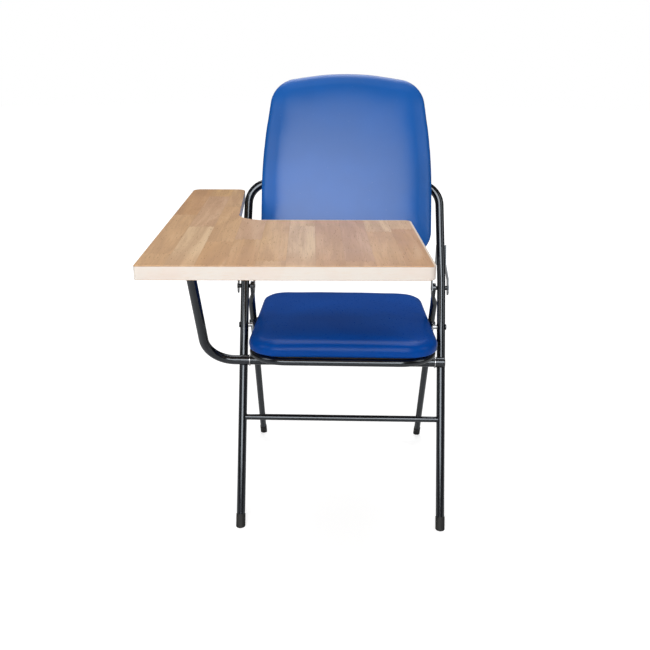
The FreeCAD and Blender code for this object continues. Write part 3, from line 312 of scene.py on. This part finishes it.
@dataclass(frozen=True)
class Rubberwood:
    """Finger-jointed rubberwood staves under clear lacquer, with a pale edge.

    Attributes:
        stave: The width of a stave.
        length: The length of a stave.
        skew: How far the staves are turned in plan.
        corner: The shift that brings the board's front left corner to the origin.
        width: The board's width.
        depth: The board's depth without its arm.
        arm: The arm's width.
        top: The height of the writing surface.
        foot: The height of the underside.
        half_pitch: Half the distance between two fingers of a joint.
        finger_slope: How far a joint's line goes along for each step across.
        warm_reach: How far the warmer colour goes from the front edge.
        edge_fade: Where the edge's colour begins, above the underside.
        top_fade: Where it ends, from the writing surface.
        line_fade: Where the line in the front edge begins, from the writing surface.
        line_reach: How far back that line goes.
        right_rub: Where the rubbed lacquer begins, inside the right edge.
        rear_rub: Where it begins inside the back edge.
    """

    name: str = "rubberwood_board"
    stave: float = 0.0455
    length: float = 0.31
    skew: float = math.radians(-2.0)
    corner: tuple[float, float, float] = (0.270058, 0.450826, 0.0)
    width: float = 0.455
    depth: float = 0.340
    arm: float = 0.165
    top: float = 0.716
    foot: float = 0.693
    half_pitch: float = 0.0038
    finger_slope: float = 2.4
    warm_reach: float = 0.11
    edge_fade: tuple[float, float] = (0.0004, 0.0012)
    top_fade: tuple[float, float] = (-0.0016, -0.0004)
    line_fade: tuple[float, float] = (-0.0022, -0.0012)
    line_reach: float = 0.004
    right_rub: tuple[float, float] = (0.0050, 0.0030)
    rear_rub: tuple[float, float] = (0.0045, 0.0025)
    grain_depth: float = 0.00008
    brown: Colour = (0.40, 0.215, 0.105)
    streak: Colour = (0.40, 0.225, 0.115)
    light: Colour = (0.80, 0.60, 0.40)
    pore: Colour = (0.20, 0.10, 0.045)
    blush: Colour = (0.62, 0.34, 0.22)
    glue: Colour = (0.30, 0.16, 0.08)
    warm: Colour = (0.56, 0.30, 0.13)
    edge: Colour = (0.73, 0.67, 0.61)
    edge_pink: Colour = (0.73, 0.63, 0.56)
    end_grain: Colour = (0.70, 0.52, 0.34)
    shadow_line: Colour = (0.30, 0.16, 0.07)
    rubbed: Colour = (0.86, 0.78, 0.68)
    sides: tuple[tuple[float, Colour], ...] = (
        (0.00, (0.660, 0.380, 0.150)),
        (0.22, (0.620, 0.345, 0.145)),
        (0.42, (0.620, 0.405, 0.245)),
        (0.62, (0.650, 0.440, 0.265)),
        (1.00, (0.700, 0.455, 0.220)),
    )
    tones: tuple[tuple[float, Colour], ...] = (
        (0.00, (0.660, 0.395, 0.175)),
        (0.17, (0.760, 0.545, 0.320)),
        (0.34, (0.540, 0.290, 0.135)),
        (0.50, (0.740, 0.485, 0.235)),
        (0.66, (0.600, 0.375, 0.250)),
        (0.82, (0.700, 0.430, 0.190)),
        (1.00, (0.800, 0.600, 0.390)),
    )

    def build(self) -> bpy.types.Material:
        """Return the material."""
        graph = Graph(self.name)
        flat = graph.mapped((1, 1, 1), self.skew, self.corner)
        parts = graph.node("ShaderNodeSeparateXYZ", {}, {0: flat})
        across, along, high = (Value(graph, socket) for socket in parts.outputs)
        column = (across / self.stave).floor()
        shift = graph.out("ShaderNodeTexWhiteNoise", {"noise_dimensions": "1D"}, {"W": column * 3.7 + 1.3})
        fingers = across.wave(self.half_pitch) * self.finger_slope
        run = (along + shift * self.length * 2.0 + fingers) / self.length
        tone = graph.out("ShaderNodeTexWhiteNoise", {"noise_dimensions": "1D"},
                         {"W": column * 17.13 + run.floor() * 5.71 + 0.4})
        # each stave starts its grain at another place, so that no streak crosses a glue line
        offset = graph.out("ShaderNodeCombineXYZ", {}, {0: tone * 7.0, 1: tone * 13.0, 2: column * 0.21})
        placed = graph.out("ShaderNodeVectorMath", {"operation": "ADD"}, {0: flat, 1: offset})
        streak_place = graph.out("ShaderNodeMapping", {}, {"Vector": placed, "Scale": (420.0, 9.0, 420.0)})
        streaks = graph.noise(streak_place, 1.0, 3.0, 0.6)
        pore_place = graph.out("ShaderNodeMapping", {}, {"Vector": placed, "Scale": (900.0, 70.0, 900.0)})
        pores = graph.noise(pore_place, 1.0, 1.0).steps(0.665, 0.735)
        wood = self._toned(graph, tone, across, along)
        wood = self._grained(graph, wood, placed, streaks, pores)
        wood = self._jointed(graph, wood, across, run)
        wood = self._rubbed_pale(graph, wood, across, along)
        below_top = 1.0 - (high - self.top).steps(*self.top_fade)
        on_edge = (high - self.foot).steps(*self.edge_fade) * below_top
        dullness = graph.noise(graph.place, 40.0, 2.0) * 0.10
        return graph.finish(Base_Color=graph.mix(on_edge, wood, self._sawn_edge(graph, along, high)),
                            Roughness=0.36 + dullness + pores * 0.2,
                            Specular_IOR_Level=0.4,
                            Coat_Weight=0.15,
                            Coat_Roughness=0.25,
                            Normal=graph.bump(streaks * 0.5 - pores, self.grain_depth, 0.4))

    def _toned(self, graph: Graph, tone: Value, across: Value, along: Value) -> Value:
        """Give each stave its own colour, warmer towards the front edge.

        Args:
            graph: The material's node tree.
            tone: A random number for each stave.
            across: The way from the board's left edge.
            along: The way from its front edge.

        Returns:
            The colour.
        """
        own = graph.out("ShaderNodeValToRGB", {"stops": self.tones}, {0: tone})
        sides = graph.out("ShaderNodeValToRGB", {"stops": self.sides}, {0: across / self.width})
        base = graph.mix(0.25, own, sides)
        warmer = graph.mix(0.4, base, self.warm)
        return graph.mix(1.0 - along.steps(0.0, self.warm_reach), base, warmer)

    def _grained(self, graph: Graph, base: Value, placed: Value, streaks: Value, pores: Value) -> Value:
        """Lay the grain over the staves.

        Args:
            graph: The material's node tree.
            base: The colour of the staves.
            placed: The coordinates of each stave's grain.
            streaks: The fine streaks, from 0 to 1.
            pores: The pores, from 0 to 1.

        Returns:
            The colour.
        """
        stretched = graph.out("ShaderNodeMapping", {}, {"Vector": placed, "Scale": (26.0, 2.6, 26.0)})
        bent = graph.out("ShaderNodeTexNoise", {}, {"Vector": stretched, "Scale": 1.4, "Detail": 4.0,
                                                    "Roughness": 0.55, "Distortion": 1.1})
        cloudy = graph.noise(graph.place, 9.0, 2.0)
        wood = graph.mix(bent.steps(0.36, 0.66) * 0.50, base, self.brown)
        wood = graph.mix(streaks.steps(0.40, 0.75) * 0.30, wood, self.streak)
        wood = graph.mix((1.0 - bent).steps(0.55, 0.8) * 0.28, wood, self.light)
        wood = graph.mix(pores * 0.55, wood, self.pore)
        return graph.mix(cloudy.steps(0.45, 0.8) * 0.18, wood, self.blush)

    def _jointed(self, graph: Graph, wood: Value, across: Value, run: Value) -> Value:
        """Draw the glue lines and the finger joints.

        Args:
            graph: The material's node tree.
            wood: The colour of the wood.
            across: The way from the board's left edge.
            run: The way along a stave, in lengths of a stave.

        Returns:
            The colour.
        """
        glued = 1.0 - (across / self.stave).wave(0.5).steps(0.0, 0.012)
        seam = 1.0 - run.wave(0.5).steps(0.0, 0.0035)
        return graph.mix(glued * 0.28 + seam * 0.22, wood, self.glue)

    def _rubbed_pale(self, graph: Graph, wood: Value, across: Value, along: Value) -> Value:
        """Rub the lacquer pale along the right edge and the back edge.

        Args:
            graph: The material's node tree.
            wood: The colour of the wood.
            across: The way from the board's left edge.
            along: The way from its front edge.

        Returns:
            The colour.
        """
        right = across.steps(*(self.width - inset for inset in self.right_rub))
        rear = along.steps(*(self.depth - inset for inset in self.rear_rub)) * (across > self.arm)
        wood = graph.mix(right * 0.75, wood, self.rubbed)
        return graph.mix(rear * 0.75, wood, self.rubbed)

    def _sawn_edge(self, graph: Graph, along: Value, high: Value) -> Value:
        """Colour the sawn edge: pale, with end grain and a pink cast in places.

        Args:
            graph: The material's node tree.
            along: The way from the board's front edge.
            high: The height.

        Returns:
            The colour.
        """
        rim = graph.mix(graph.noise(graph.place, 16.0, 3.0).steps(0.42, 0.7), self.edge, self.edge_pink)
        grain = graph.noise(graph.mapped((60, 60, 500)), 1.0, 2.0).steps(0.5, 0.8)
        rim = graph.mix(grain * 0.25, rim, self.end_grain)
        line = (high - self.top).steps(*self.line_fade) * (along < self.line_reach)
        return graph.mix(line * 0.8, rim, self.shadow_line)


@dataclass(frozen=True)
class BrightZinc:
    """Zinc-plated steel of small hardware."""

    name: str = "bright_zinc"
    colour: Colour = (0.60, 0.61, 0.63)
    tarnished: Colour = (0.36, 0.34, 0.31)
    grain_depth: float = 0.00003

    def build(self) -> bpy.types.Material:
        """Return the material."""
        graph = Graph(self.name)
        spangle = graph.noise(graph.place, 420.0, 3.0)
        tarnish = graph.noise(graph.place, 60.0, 3.0).steps(0.5, 0.8)
        return graph.finish(Base_Color=graph.mix(tarnish * 0.5, self.colour, self.tarnished),
                            Metallic=1.0,
                            Roughness=0.24 + spangle * 0.14 + tarnish * 0.15,
                            Normal=graph.bump(spangle, self.grain_depth, 0.3))


@dataclass(frozen=True)
class Moulded:
    """Plain moulded rubber or plastic with a fine grain."""

    name: str
    colour: Colour
    dusty: Colour
    roughness: float
    grain_depth: float = 0.00008

    def build(self) -> bpy.types.Material:
        """Return the material."""
        graph = Graph(self.name)
        grain = graph.noise(graph.place, 1100.0, 2.0)
        dust = graph.noise(graph.place, 45.0, 4.0).steps(0.45, 0.8)
        return graph.finish(Base_Color=graph.mix(dust * 0.6, self.colour, self.dusty),
                            Roughness=self.roughness + dust * 0.12,
                            Normal=graph.bump(grain, self.grain_depth, 0.5))


@dataclass(frozen=True)
class Ply:
    """Plywood or coated board under the pads."""

    name: str
    face: Colour
    dark: Colour
    roughness: float
    streak: float
    grain_depth: float = 0.0001

    def build(self) -> bpy.types.Material:
        """Return the material."""
        graph = Graph(self.name)
        grain = graph.noise(graph.mapped((140.0, 5.0, 140.0)), 1.0, 4.0, 0.6)
        cloudy = graph.noise(graph.place, 8.0, 3.0)
        colour = graph.mix(grain.steps(0.35, 0.75) * self.streak, self.face, self.dark)
        return graph.finish(Base_Color=graph.mix(cloudy.steps(0.5, 0.85) * 0.3, colour, self.dark),
                            Roughness=self.roughness + grain * 0.12,
                            Normal=graph.bump(grain, self.grain_depth, 0.4))


class Body(Enum):
    """The bodies that carry the pieces made here."""

    FRAME = "front_frame"
    SEAT = "seat"


class MeshMaker:
    """Helpers that turn a bmesh into a finished piece."""

    @staticmethod
    def to_object(name: str, mesh: bmesh.types.BMesh, smooth: bool = True) -> bpy.types.Object:
        """Store a bmesh as a linked object at the origin.

        Args:
            name: The piece's name.
            mesh: The bmesh, freed here.
            smooth: Whether its faces are shaded smooth.

        Returns:
            The object.
        """
        bmesh.ops.recalc_face_normals(mesh, faces=mesh.faces)
        for face in mesh.faces:
            face.smooth = smooth
        data = bpy.data.meshes.new(name)
        mesh.to_mesh(data)
        mesh.free()
        made = bpy.data.objects.new(name, data)
        bpy.context.scene.collection.objects.link(made)
        return made

    @staticmethod
    def applied(piece: bpy.types.Object) -> None:
        """Put the result of a piece's modifiers into its mesh."""
        graph = bpy.context.evaluated_depsgraph_get()
        data = bpy.data.meshes.new_from_object(piece.evaluated_get(graph))
        piece.modifiers.clear()
        piece.data = data

    @staticmethod
    def dress(piece: bpy.types.Object, material: bpy.types.Material, body: Body, slot: str) -> None:
        """Give a piece its material and its body."""
        piece.data.materials.clear()
        piece.data.materials.append(material)
        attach(piece, body.value)


class Outline:
    """How far a rounded flat shape reaches from a centre in each direction."""

    directions: int = 360

    def __init__(self, points: Iterable[Vector], centre: Vector) -> None:
        """Measure the outline round some points.

        Args:
            points: The points; only x and y count.
            centre: A place inside.
        """
        self.centre = centre
        flat = [Vector((point.x, point.y)) - centre for point in points]
        ring = [flat[index] for index in geometry.convex_hull_2d(flat)]
        sides = []
        for first, second in zip(ring, ring[1:] + ring[:1]):
            normal = Vector((second.y - first.y, first.x - second.x))
            if normal.length > 0.0:
                normal.normalize()
                reach = normal.dot(first)
                sides.append((normal, reach) if reach > 0.0 else (-normal, -reach))
        self.reaches = [self._reach(sides, 2.0 * math.pi * step / self.directions)
                        for step in range(self.directions)]

    @staticmethod
    def _reach(sides: Sequence[tuple[Vector, float]], angle: float) -> float:
        """Return the distance to the nearest side in one direction."""
        toward = Vector((math.cos(angle), math.sin(angle)))
        return min(reach / normal.dot(toward) for normal, reach in sides if normal.dot(toward) > 0.001)

    def at(self, x: float, y: float) -> float:
        """Return the reach in the direction of a point."""
        turn = math.atan2(y, x) / (2.0 * math.pi) % 1.0 * self.directions
        low = int(turn) % self.directions
        share = turn - int(turn)
        return self.reaches[low] * (1.0 - share) + self.reaches[(low + 1) % self.directions] * share


@dataclass
class Pad:
    """A foam pad under stretched vinyl.

    It starts as a copy of the plain solid in its own frame, with the thickness
    along z. It is swollen there by a cloth simulation, brought back to the
    solid's outline and then set in its place.

    Attributes:
        thickness: The solid's thickness.
        place: The pad's own frame, in the scene.
        margin: How far the outline goes past the solid's.
        shift: How far the pad sits to the right.
        rise: The crown's height, in solid thicknesses.
        crown: The share by which the farthest corner is lower.
        tail: The share by which the rear half is longer.
        doming: Rounds of smoothing before the simulation.
        settling: Rounds that also smooth the plan.
        levelling: Rounds of smoothing after the simulation.
        cap: The most that the simulation may move a point.
        held_share: The share of the thickness that stays on the board.
    """

    name: str
    node: str
    body: Body
    thickness: float
    place: Matrix
    margin: float
    shift: float
    rise: float
    crown: float
    tail: float = 0.0
    voxel: float = 0.0055
    doming: int = 30
    settling: int = 5
    levelling: int = 90
    pressure: float = 4.0
    tautness: float = 0.008
    cap: float = 0.003
    fill: float = 0.8
    steps: int = 20
    held_share: float = 0.14
    merge: float = 0.00002
    smoothing: float = 0.5
    quality: int = 6
    sheet_mass: float = 0.3
    stretch: float = 18.0
    shear: float = 10.0
    bending: float = 8.0

    def build(self, solid: bpy.types.Object, material: bpy.types.Material) -> bpy.types.Object:
        """Make, swell, place and dress the pad.

        Args:
            solid: The plain solid that it replaces.
            material: Its vinyl.

        Returns:
            The pad.
        """
        piece = self._copied(solid)
        points = [vertex.co.copy() for vertex in piece.data.vertices]
        foot = min(point.z for point in points)
        top = max(point.z for point in points)
        middle = (min(point.y for point in points) + max(point.y for point in points)) / 2.0
        centre = Vector((0.0, middle))
        target = Outline(points, centre)
        self._soften(piece, self.doming)
        self._swell(piece, foot)
        self._soften(piece, self.levelling, remesh=False)
        self._fit(piece, target, foot, top)
        piece.data.transform(self.place)
        piece.data.update()
        finishing = piece.modifiers.new("smooth", "SUBSURF")
        finishing.levels = finishing.render_levels = 1
        MeshMaker.applied(piece)
        for polygon in piece.data.polygons:
            polygon.use_smooth = True
        MeshMaker.dress(piece, material, self.body, "blue_vinyl")
        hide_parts(self.node)
        return piece

    def _copied(self, solid: bpy.types.Object) -> bpy.types.Object:
        """Return a merged copy of the solid in the pad's own frame."""
        mesh = bmesh.new()
        mesh.from_mesh(solid.data)
        bmesh.ops.remove_doubles(mesh, verts=mesh.verts, dist=self.merge)
        bmesh.ops.transform(mesh, matrix=self.place.inverted(), verts=mesh.verts)
        return MeshMaker.to_object(self.name, mesh)

    def _soften(self, piece: bpy.types.Object, rounds: int, remesh: bool = True) -> None:
        """Round the pad over, on an even mesh.

        Args:
            piece: The pad.
            rounds: How often its face is smoothed along the thickness.
            remesh: Whether it first gets an even mesh.
        """
        if remesh:
            even = piece.modifiers.new("even", "REMESH")
            even.mode = "VOXEL"
            even.voxel_size = self.voxel
            even.use_smooth_shade = True
        relax = piece.modifiers.new("relax", "SMOOTH")
        relax.factor = self.smoothing
        relax.iterations = self.settling
        dome = piece.modifiers.new("dome", "SMOOTH")
        dome.factor = self.smoothing
        dome.iterations = rounds
        dome.use_x = dome.use_y = False
        MeshMaker.applied(piece)

    def _fit(self, piece: bpy.types.Object, target: Outline, foot: float, top: float) -> None:
        """Bring the softened pad back to the solid's outline and height.

        Args:
            piece: The pad.
            target: The solid's outline.
            foot: The height of its underside.
            top: The height of its crown.
        """
        points = [vertex.co.copy() for vertex in piece.data.vertices]
        outline = Outline(points, target.centre)
        low, high = min(point.z for point in points), max(point.z for point in points)
        lift = (top - foot) * self.rise / (high - low)
        radius = max((point.xy - target.centre).length for point in points)
        for vertex, point in zip(piece.data.vertices, points):
            x, y = point.x - target.centre.x, point.y - target.centre.y
            scale = (target.at(x, y) + self.margin) / outline.at(x, y)
            reach = 1.0 + self.tail if y > 0.0 else 1.0
            pillow = 1.0 - self.crown * (x * x + y * y) / radius ** 2
            vertex.co = (target.centre.x + x * scale + self.shift,
                         target.centre.y + y * scale * reach,
                         foot + (point.z - low) * lift * pillow)

    def _swell(self, piece: bpy.types.Object, foot: float) -> None:
        """Blow the pad up a little as stretched cloth, within the cap.

        Args:
            piece: The pad.
            foot: The height of its underside.
        """
        scene = bpy.context.scene
        start = [vertex.co.copy() for vertex in piece.data.vertices]
        held = piece.vertex_groups.new(name="held")
        line = foot + self.thickness * self.held_share
        held.add([index for index, point in enumerate(start) if point.z < line], 1.0, "REPLACE")
        cloth = piece.modifiers.new("cloth", "CLOTH")
        settings = cloth.settings
        settings.quality = self.quality
        settings.mass = self.sheet_mass
        settings.tension_stiffness = self.stretch
        settings.compression_stiffness = self.stretch
        settings.shear_stiffness = self.shear
        settings.bending_stiffness = self.bending
        settings.shrink_min = self.tautness
        settings.use_pressure = True
        settings.uniform_pressure_force = self.pressure
        settings.effector_weights.gravity = 0.0
        settings.vertex_group_mass = "held"
        cloth.collision_settings.use_collision = False
        cloth.point_cache.frame_start = 1
        cloth.point_cache.frame_end = self.steps
        for frame in range(1, self.steps + 1):
            scene.frame_set(frame)
        graph = bpy.context.evaluated_depsgraph_get()
        swollen = piece.evaluated_get(graph)
        moved = [vertex.co.copy() for vertex in swollen.to_mesh().vertices]
        swollen.to_mesh_clear()
        piece.modifiers.clear()
        piece.vertex_groups.clear()
        scene.frame_set(1)
        for vertex, before, after in zip(piece.data.vertices, start, moved):
            step = after - before
            if step.length > self.cap:
                step = step * (self.cap / step.length)
            vertex.co = before + step


@dataclass
class Upholstery:
    """The seat pad and the back pad."""

    origin: Vector = field(default_factory=lambda: Vector((0.048542, -0.034026, 0.0)))
    lean: float = math.radians(22.1)
    seat_tilt: float = math.radians(1.5)
    seat_pivot: tuple[float, float, float] = (0.0, 0.17137, 0.422034)
    seat_height: float = 0.0384
    back_height: float = 0.0372

    def build(self, solids: dict[str, bpy.types.Object], shaded_seat_vinyl: bpy.types.Material,
              back_vinyl: bpy.types.Material) -> None:
        """Make both pads.

        Args:
            solids: The carried nodes by name.
            shaded_seat_vinyl: The seat's material.
            back_vinyl: The back's material.
        """
        seat = (Matrix.Translation(self.origin + Vector(self.seat_pivot))
                @ Matrix.Rotation(-self.seat_tilt, 4, "X"))
        seat_pad = Pad("seat_pad", "seat_cushion", Body.SEAT, self.seat_height, seat, margin=0.0008,
                       shift=0.001, rise=1.17, crown=0.20, tail=0.03, doming=10, settling=2,
                       levelling=16, cap=0.002)
        seat_pad.build(solids["seat_cushion"], shaded_seat_vinyl)
        # the back pad's thickness points forward, square to the plane of the legs
        back = (Matrix.Translation(self.origin) @ Matrix.Rotation(-self.lean, 4, "X")
                @ Matrix.Rotation(math.radians(90.0), 4, "X"))
        back_pad = Pad("back_pad", "back_cushion", Body.FRAME, self.back_height, back, margin=0.0005,
                       shift=0.005, rise=1.12, crown=0.24)
        back_pad.build(solids["back_cushion"], back_vinyl)


@dataclass(frozen=True)
class Softbox:
    """A soft rectangular lamp that points at a target."""

    name: str
    place: tuple[float, float, float]
    target: tuple[float, float, float]
    size: tuple[float, float]
    power: float

    def hang(self) -> None:
        """Add the lamp to the scene."""
        data = bpy.data.lights.new(self.name, "AREA")
        data.shape = "RECTANGLE"
        data.size, data.size_y = self.size
        data.energy = self.power
        lamp = bpy.data.objects.new(self.name, data)
        lamp.location = self.place
        direction = Vector(self.target) - Vector(self.place)
        lamp.rotation_euler = direction.to_track_quat("-Z", "Y").to_euler()
        bpy.context.scene.collection.objects.link(lamp)


@dataclass
class Studio:
    """Pale floor, soft lamps and the camera."""

    camera_place: tuple[float, float, float] = (0.034142, -1.607026, 1.0254)
    yaw: float = math.radians(0.92)
    pitch: float = math.radians(19.09)
    roll: float = math.radians(0.40)
    focal_pixels: float = 806.0
    principal: tuple[float, float] = (324.0, 325.7)
    sensor: float = 36.0
    ambient: float = 0.08
    floor_radius: float = 14.0
    floor_glow: float = 0.66
    floor_grey: Colour = (0.58, 0.58, 0.58)
    floor_segments: int = 64
    fade_start: float = 0.9
    fade_end: float = 2.6
    near_clip: float = 0.05
    lamps: tuple[Softbox, ...] = (
        Softbox("key_softbox", (-0.3, -2.7, 2.0), (0.0, 0.1, 0.6), (2.4, 2.3), 89.0),
        Softbox("left_softbox", (-2.3, -0.9, 1.7), (0.0, 0.0, 0.6), (1.0, 1.8), 10.0),
        Softbox("right_softbox", (2.4, -0.7, 1.7), (0.0, 0.0, 0.6), (1.0, 1.8), 8.0),
        Softbox("top_softbox", (0.0, 1.8, 3.4), (0.0, 0.0, 0.6), (3.0, 2.2), 74.0),
    )

    def build(self) -> None:
        """Set up the floor, the light and the camera."""
        self._camera()
        self._world()
        self._floor()
        for lamp in self.lamps:
            lamp.hang()
        bpy.context.scene.view_settings.view_transform = "Standard"

    def _camera(self) -> None:
        """Place the camera as the photograph has it."""
        data = bpy.data.cameras.new("camera")
        data.sensor_width = self.sensor
        data.lens = self.focal_pixels / PHOTO_WIDTH * self.sensor
        middle = PHOTO_WIDTH / 2.0
        data.shift_x = (middle - self.principal[0]) / PHOTO_WIDTH
        data.shift_y = (self.principal[1] - middle) / PHOTO_WIDTH
        data.clip_start = self.near_clip
        camera = bpy.data.objects.new("camera", data)
        turn = (Matrix.Rotation(self.yaw, 4, "Z")
                @ Matrix.Rotation(math.radians(90.0) - self.pitch, 4, "X")
                @ Matrix.Rotation(self.roll, 4, "Z"))
        camera.matrix_world = Matrix.Translation(self.camera_place) @ turn
        bpy.context.scene.collection.objects.link(camera)
        bpy.context.scene.camera = camera

    def _world(self) -> None:
        """Make a world that the camera sees as white and that lights softly."""
        world = bpy.data.worlds.new("studio")
        world.use_nodes = True
        tree = world.node_tree
        ambient = tree.nodes["Background"]
        ambient.inputs["Color"].default_value = (1.0, 1.0, 1.0, 1.0)
        ambient.inputs["Strength"].default_value = self.ambient
        white = tree.nodes.new("ShaderNodeBackground")
        white.inputs["Color"].default_value = (1.0, 1.0, 1.0, 1.0)
        rays = tree.nodes.new("ShaderNodeLightPath")
        chosen = tree.nodes.new("ShaderNodeMixShader")
        tree.links.new(rays.outputs["Is Camera Ray"], chosen.inputs[0])
        tree.links.new(ambient.outputs[0], chosen.inputs[1])
        tree.links.new(white.outputs[0], chosen.inputs[2])
        tree.links.new(chosen.outputs[0], tree.nodes["World Output"].inputs["Surface"])
        bpy.context.scene.world = world

    def _floor(self) -> None:
        """Lay a floor that keeps the shadow and fades into the white far away."""
        mesh = bmesh.new()
        bmesh.ops.create_circle(mesh, cap_ends=True, segments=self.floor_segments,
                              radius=self.floor_radius)
        floor = MeshMaker.to_object("floor", mesh, smooth=False)
        graph = Graph("floor_white")
        seen = graph.out("ShaderNodeLightPath", {}, {}, "Is Camera Ray")
        far = graph.out("ShaderNodeVectorMath", {"operation": "LENGTH"}, {0: graph.place}, "Value")
        level = seen * (self.floor_glow + far.steps(self.fade_start, self.fade_end) * (1.0 - self.floor_glow))
        glow = graph.out("ShaderNodeCombineColor", {}, {0: level, 1: level, 2: level})
        material = graph.finish(Base_Color=self.floor_grey, Roughness=0.9, Specular_IOR_Level=0.05,
                                Emission_Color=glow, Emission_Strength=1.0)
        floor.data.materials.append(material)


class Chair:
    """The whole chair: finishes on the carried nodes, and the pieces made here."""

    def __init__(self, frame: dict[str, object]) -> None:
        """Keep the frame and make the finishes.
        """
        self.frame = frame
        self.finishes = {
            "black_paint": GlossBlack().build(),
            "dark_rivet": GlossBlack("rivet_black", (0.02, 0.02, 0.022), (0.05, 0.05, 0.055)).build(),
            "rubberwood": Rubberwood().build(),
            "zinc_steel": BrightZinc().build(),
            "black_rubber": Moulded("black_rubber", (0.012, 0.012, 0.012),
                                    (0.04, 0.038, 0.035), 0.62).build(),
            "black_plastic": Moulded("black_plastic", (0.014, 0.014, 0.015),
                                     (0.03, 0.03, 0.03), 0.42).build(),
            "plywood": Ply("seat_plywood", (0.060, 0.045, 0.035),
                           (0.030, 0.022, 0.017), 0.6, 0.7).build(),
            "black_board": Ply("back_board_black", (0.022, 0.022, 0.024),
                               (0.045, 0.044, 0.043), 0.5, 0.5).build(),
        }
        # seat and back wear one vinyl; the seat's copy is painted darker, as painted shade for the seat under
        # the board
        self.shaded_seat_vinyl = Vinyl("shaded_seat_vinyl", (0.0, 0.074, 0.395), (0.0, 0.062, 0.345),
                                roughness=0.24, shine=0.5, index=1.24).build()
        self.back_vinyl = Vinyl("back_vinyl", (0.001, 0.104, 0.430), (0.001, 0.092, 0.375),
                                roughness=0.32, shine=0.7, index=1.46).build()

    def dress_nodes(self) -> None:
        """Give every carried node the finish of its slot."""
        slots = {part["node"]: part["material_slot"] for part in self.frame["record"]["subparts"]}
        for name, node in self.frame["nodes"].items():
            finish = self.finishes.get(slots[name])
            if finish is None:
                continue
            for slot in node.material_slots:
                slot.material = finish
            LOG.info("%s wears %s", name, finish.name)

    def build(self) -> None:
        """Dress the nodes and make the new pieces."""
        self.dress_nodes()
        Upholstery().build(self.frame["nodes"], self.shaded_seat_vinyl, self.back_vinyl)
        LOG.info("pads are made")


def main() -> None:
    """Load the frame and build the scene."""
    logging.basicConfig(level=logging.INFO)
    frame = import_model()
    Chair(frame).build()
    Studio().build()


if __name__ == "__main__":
    main()
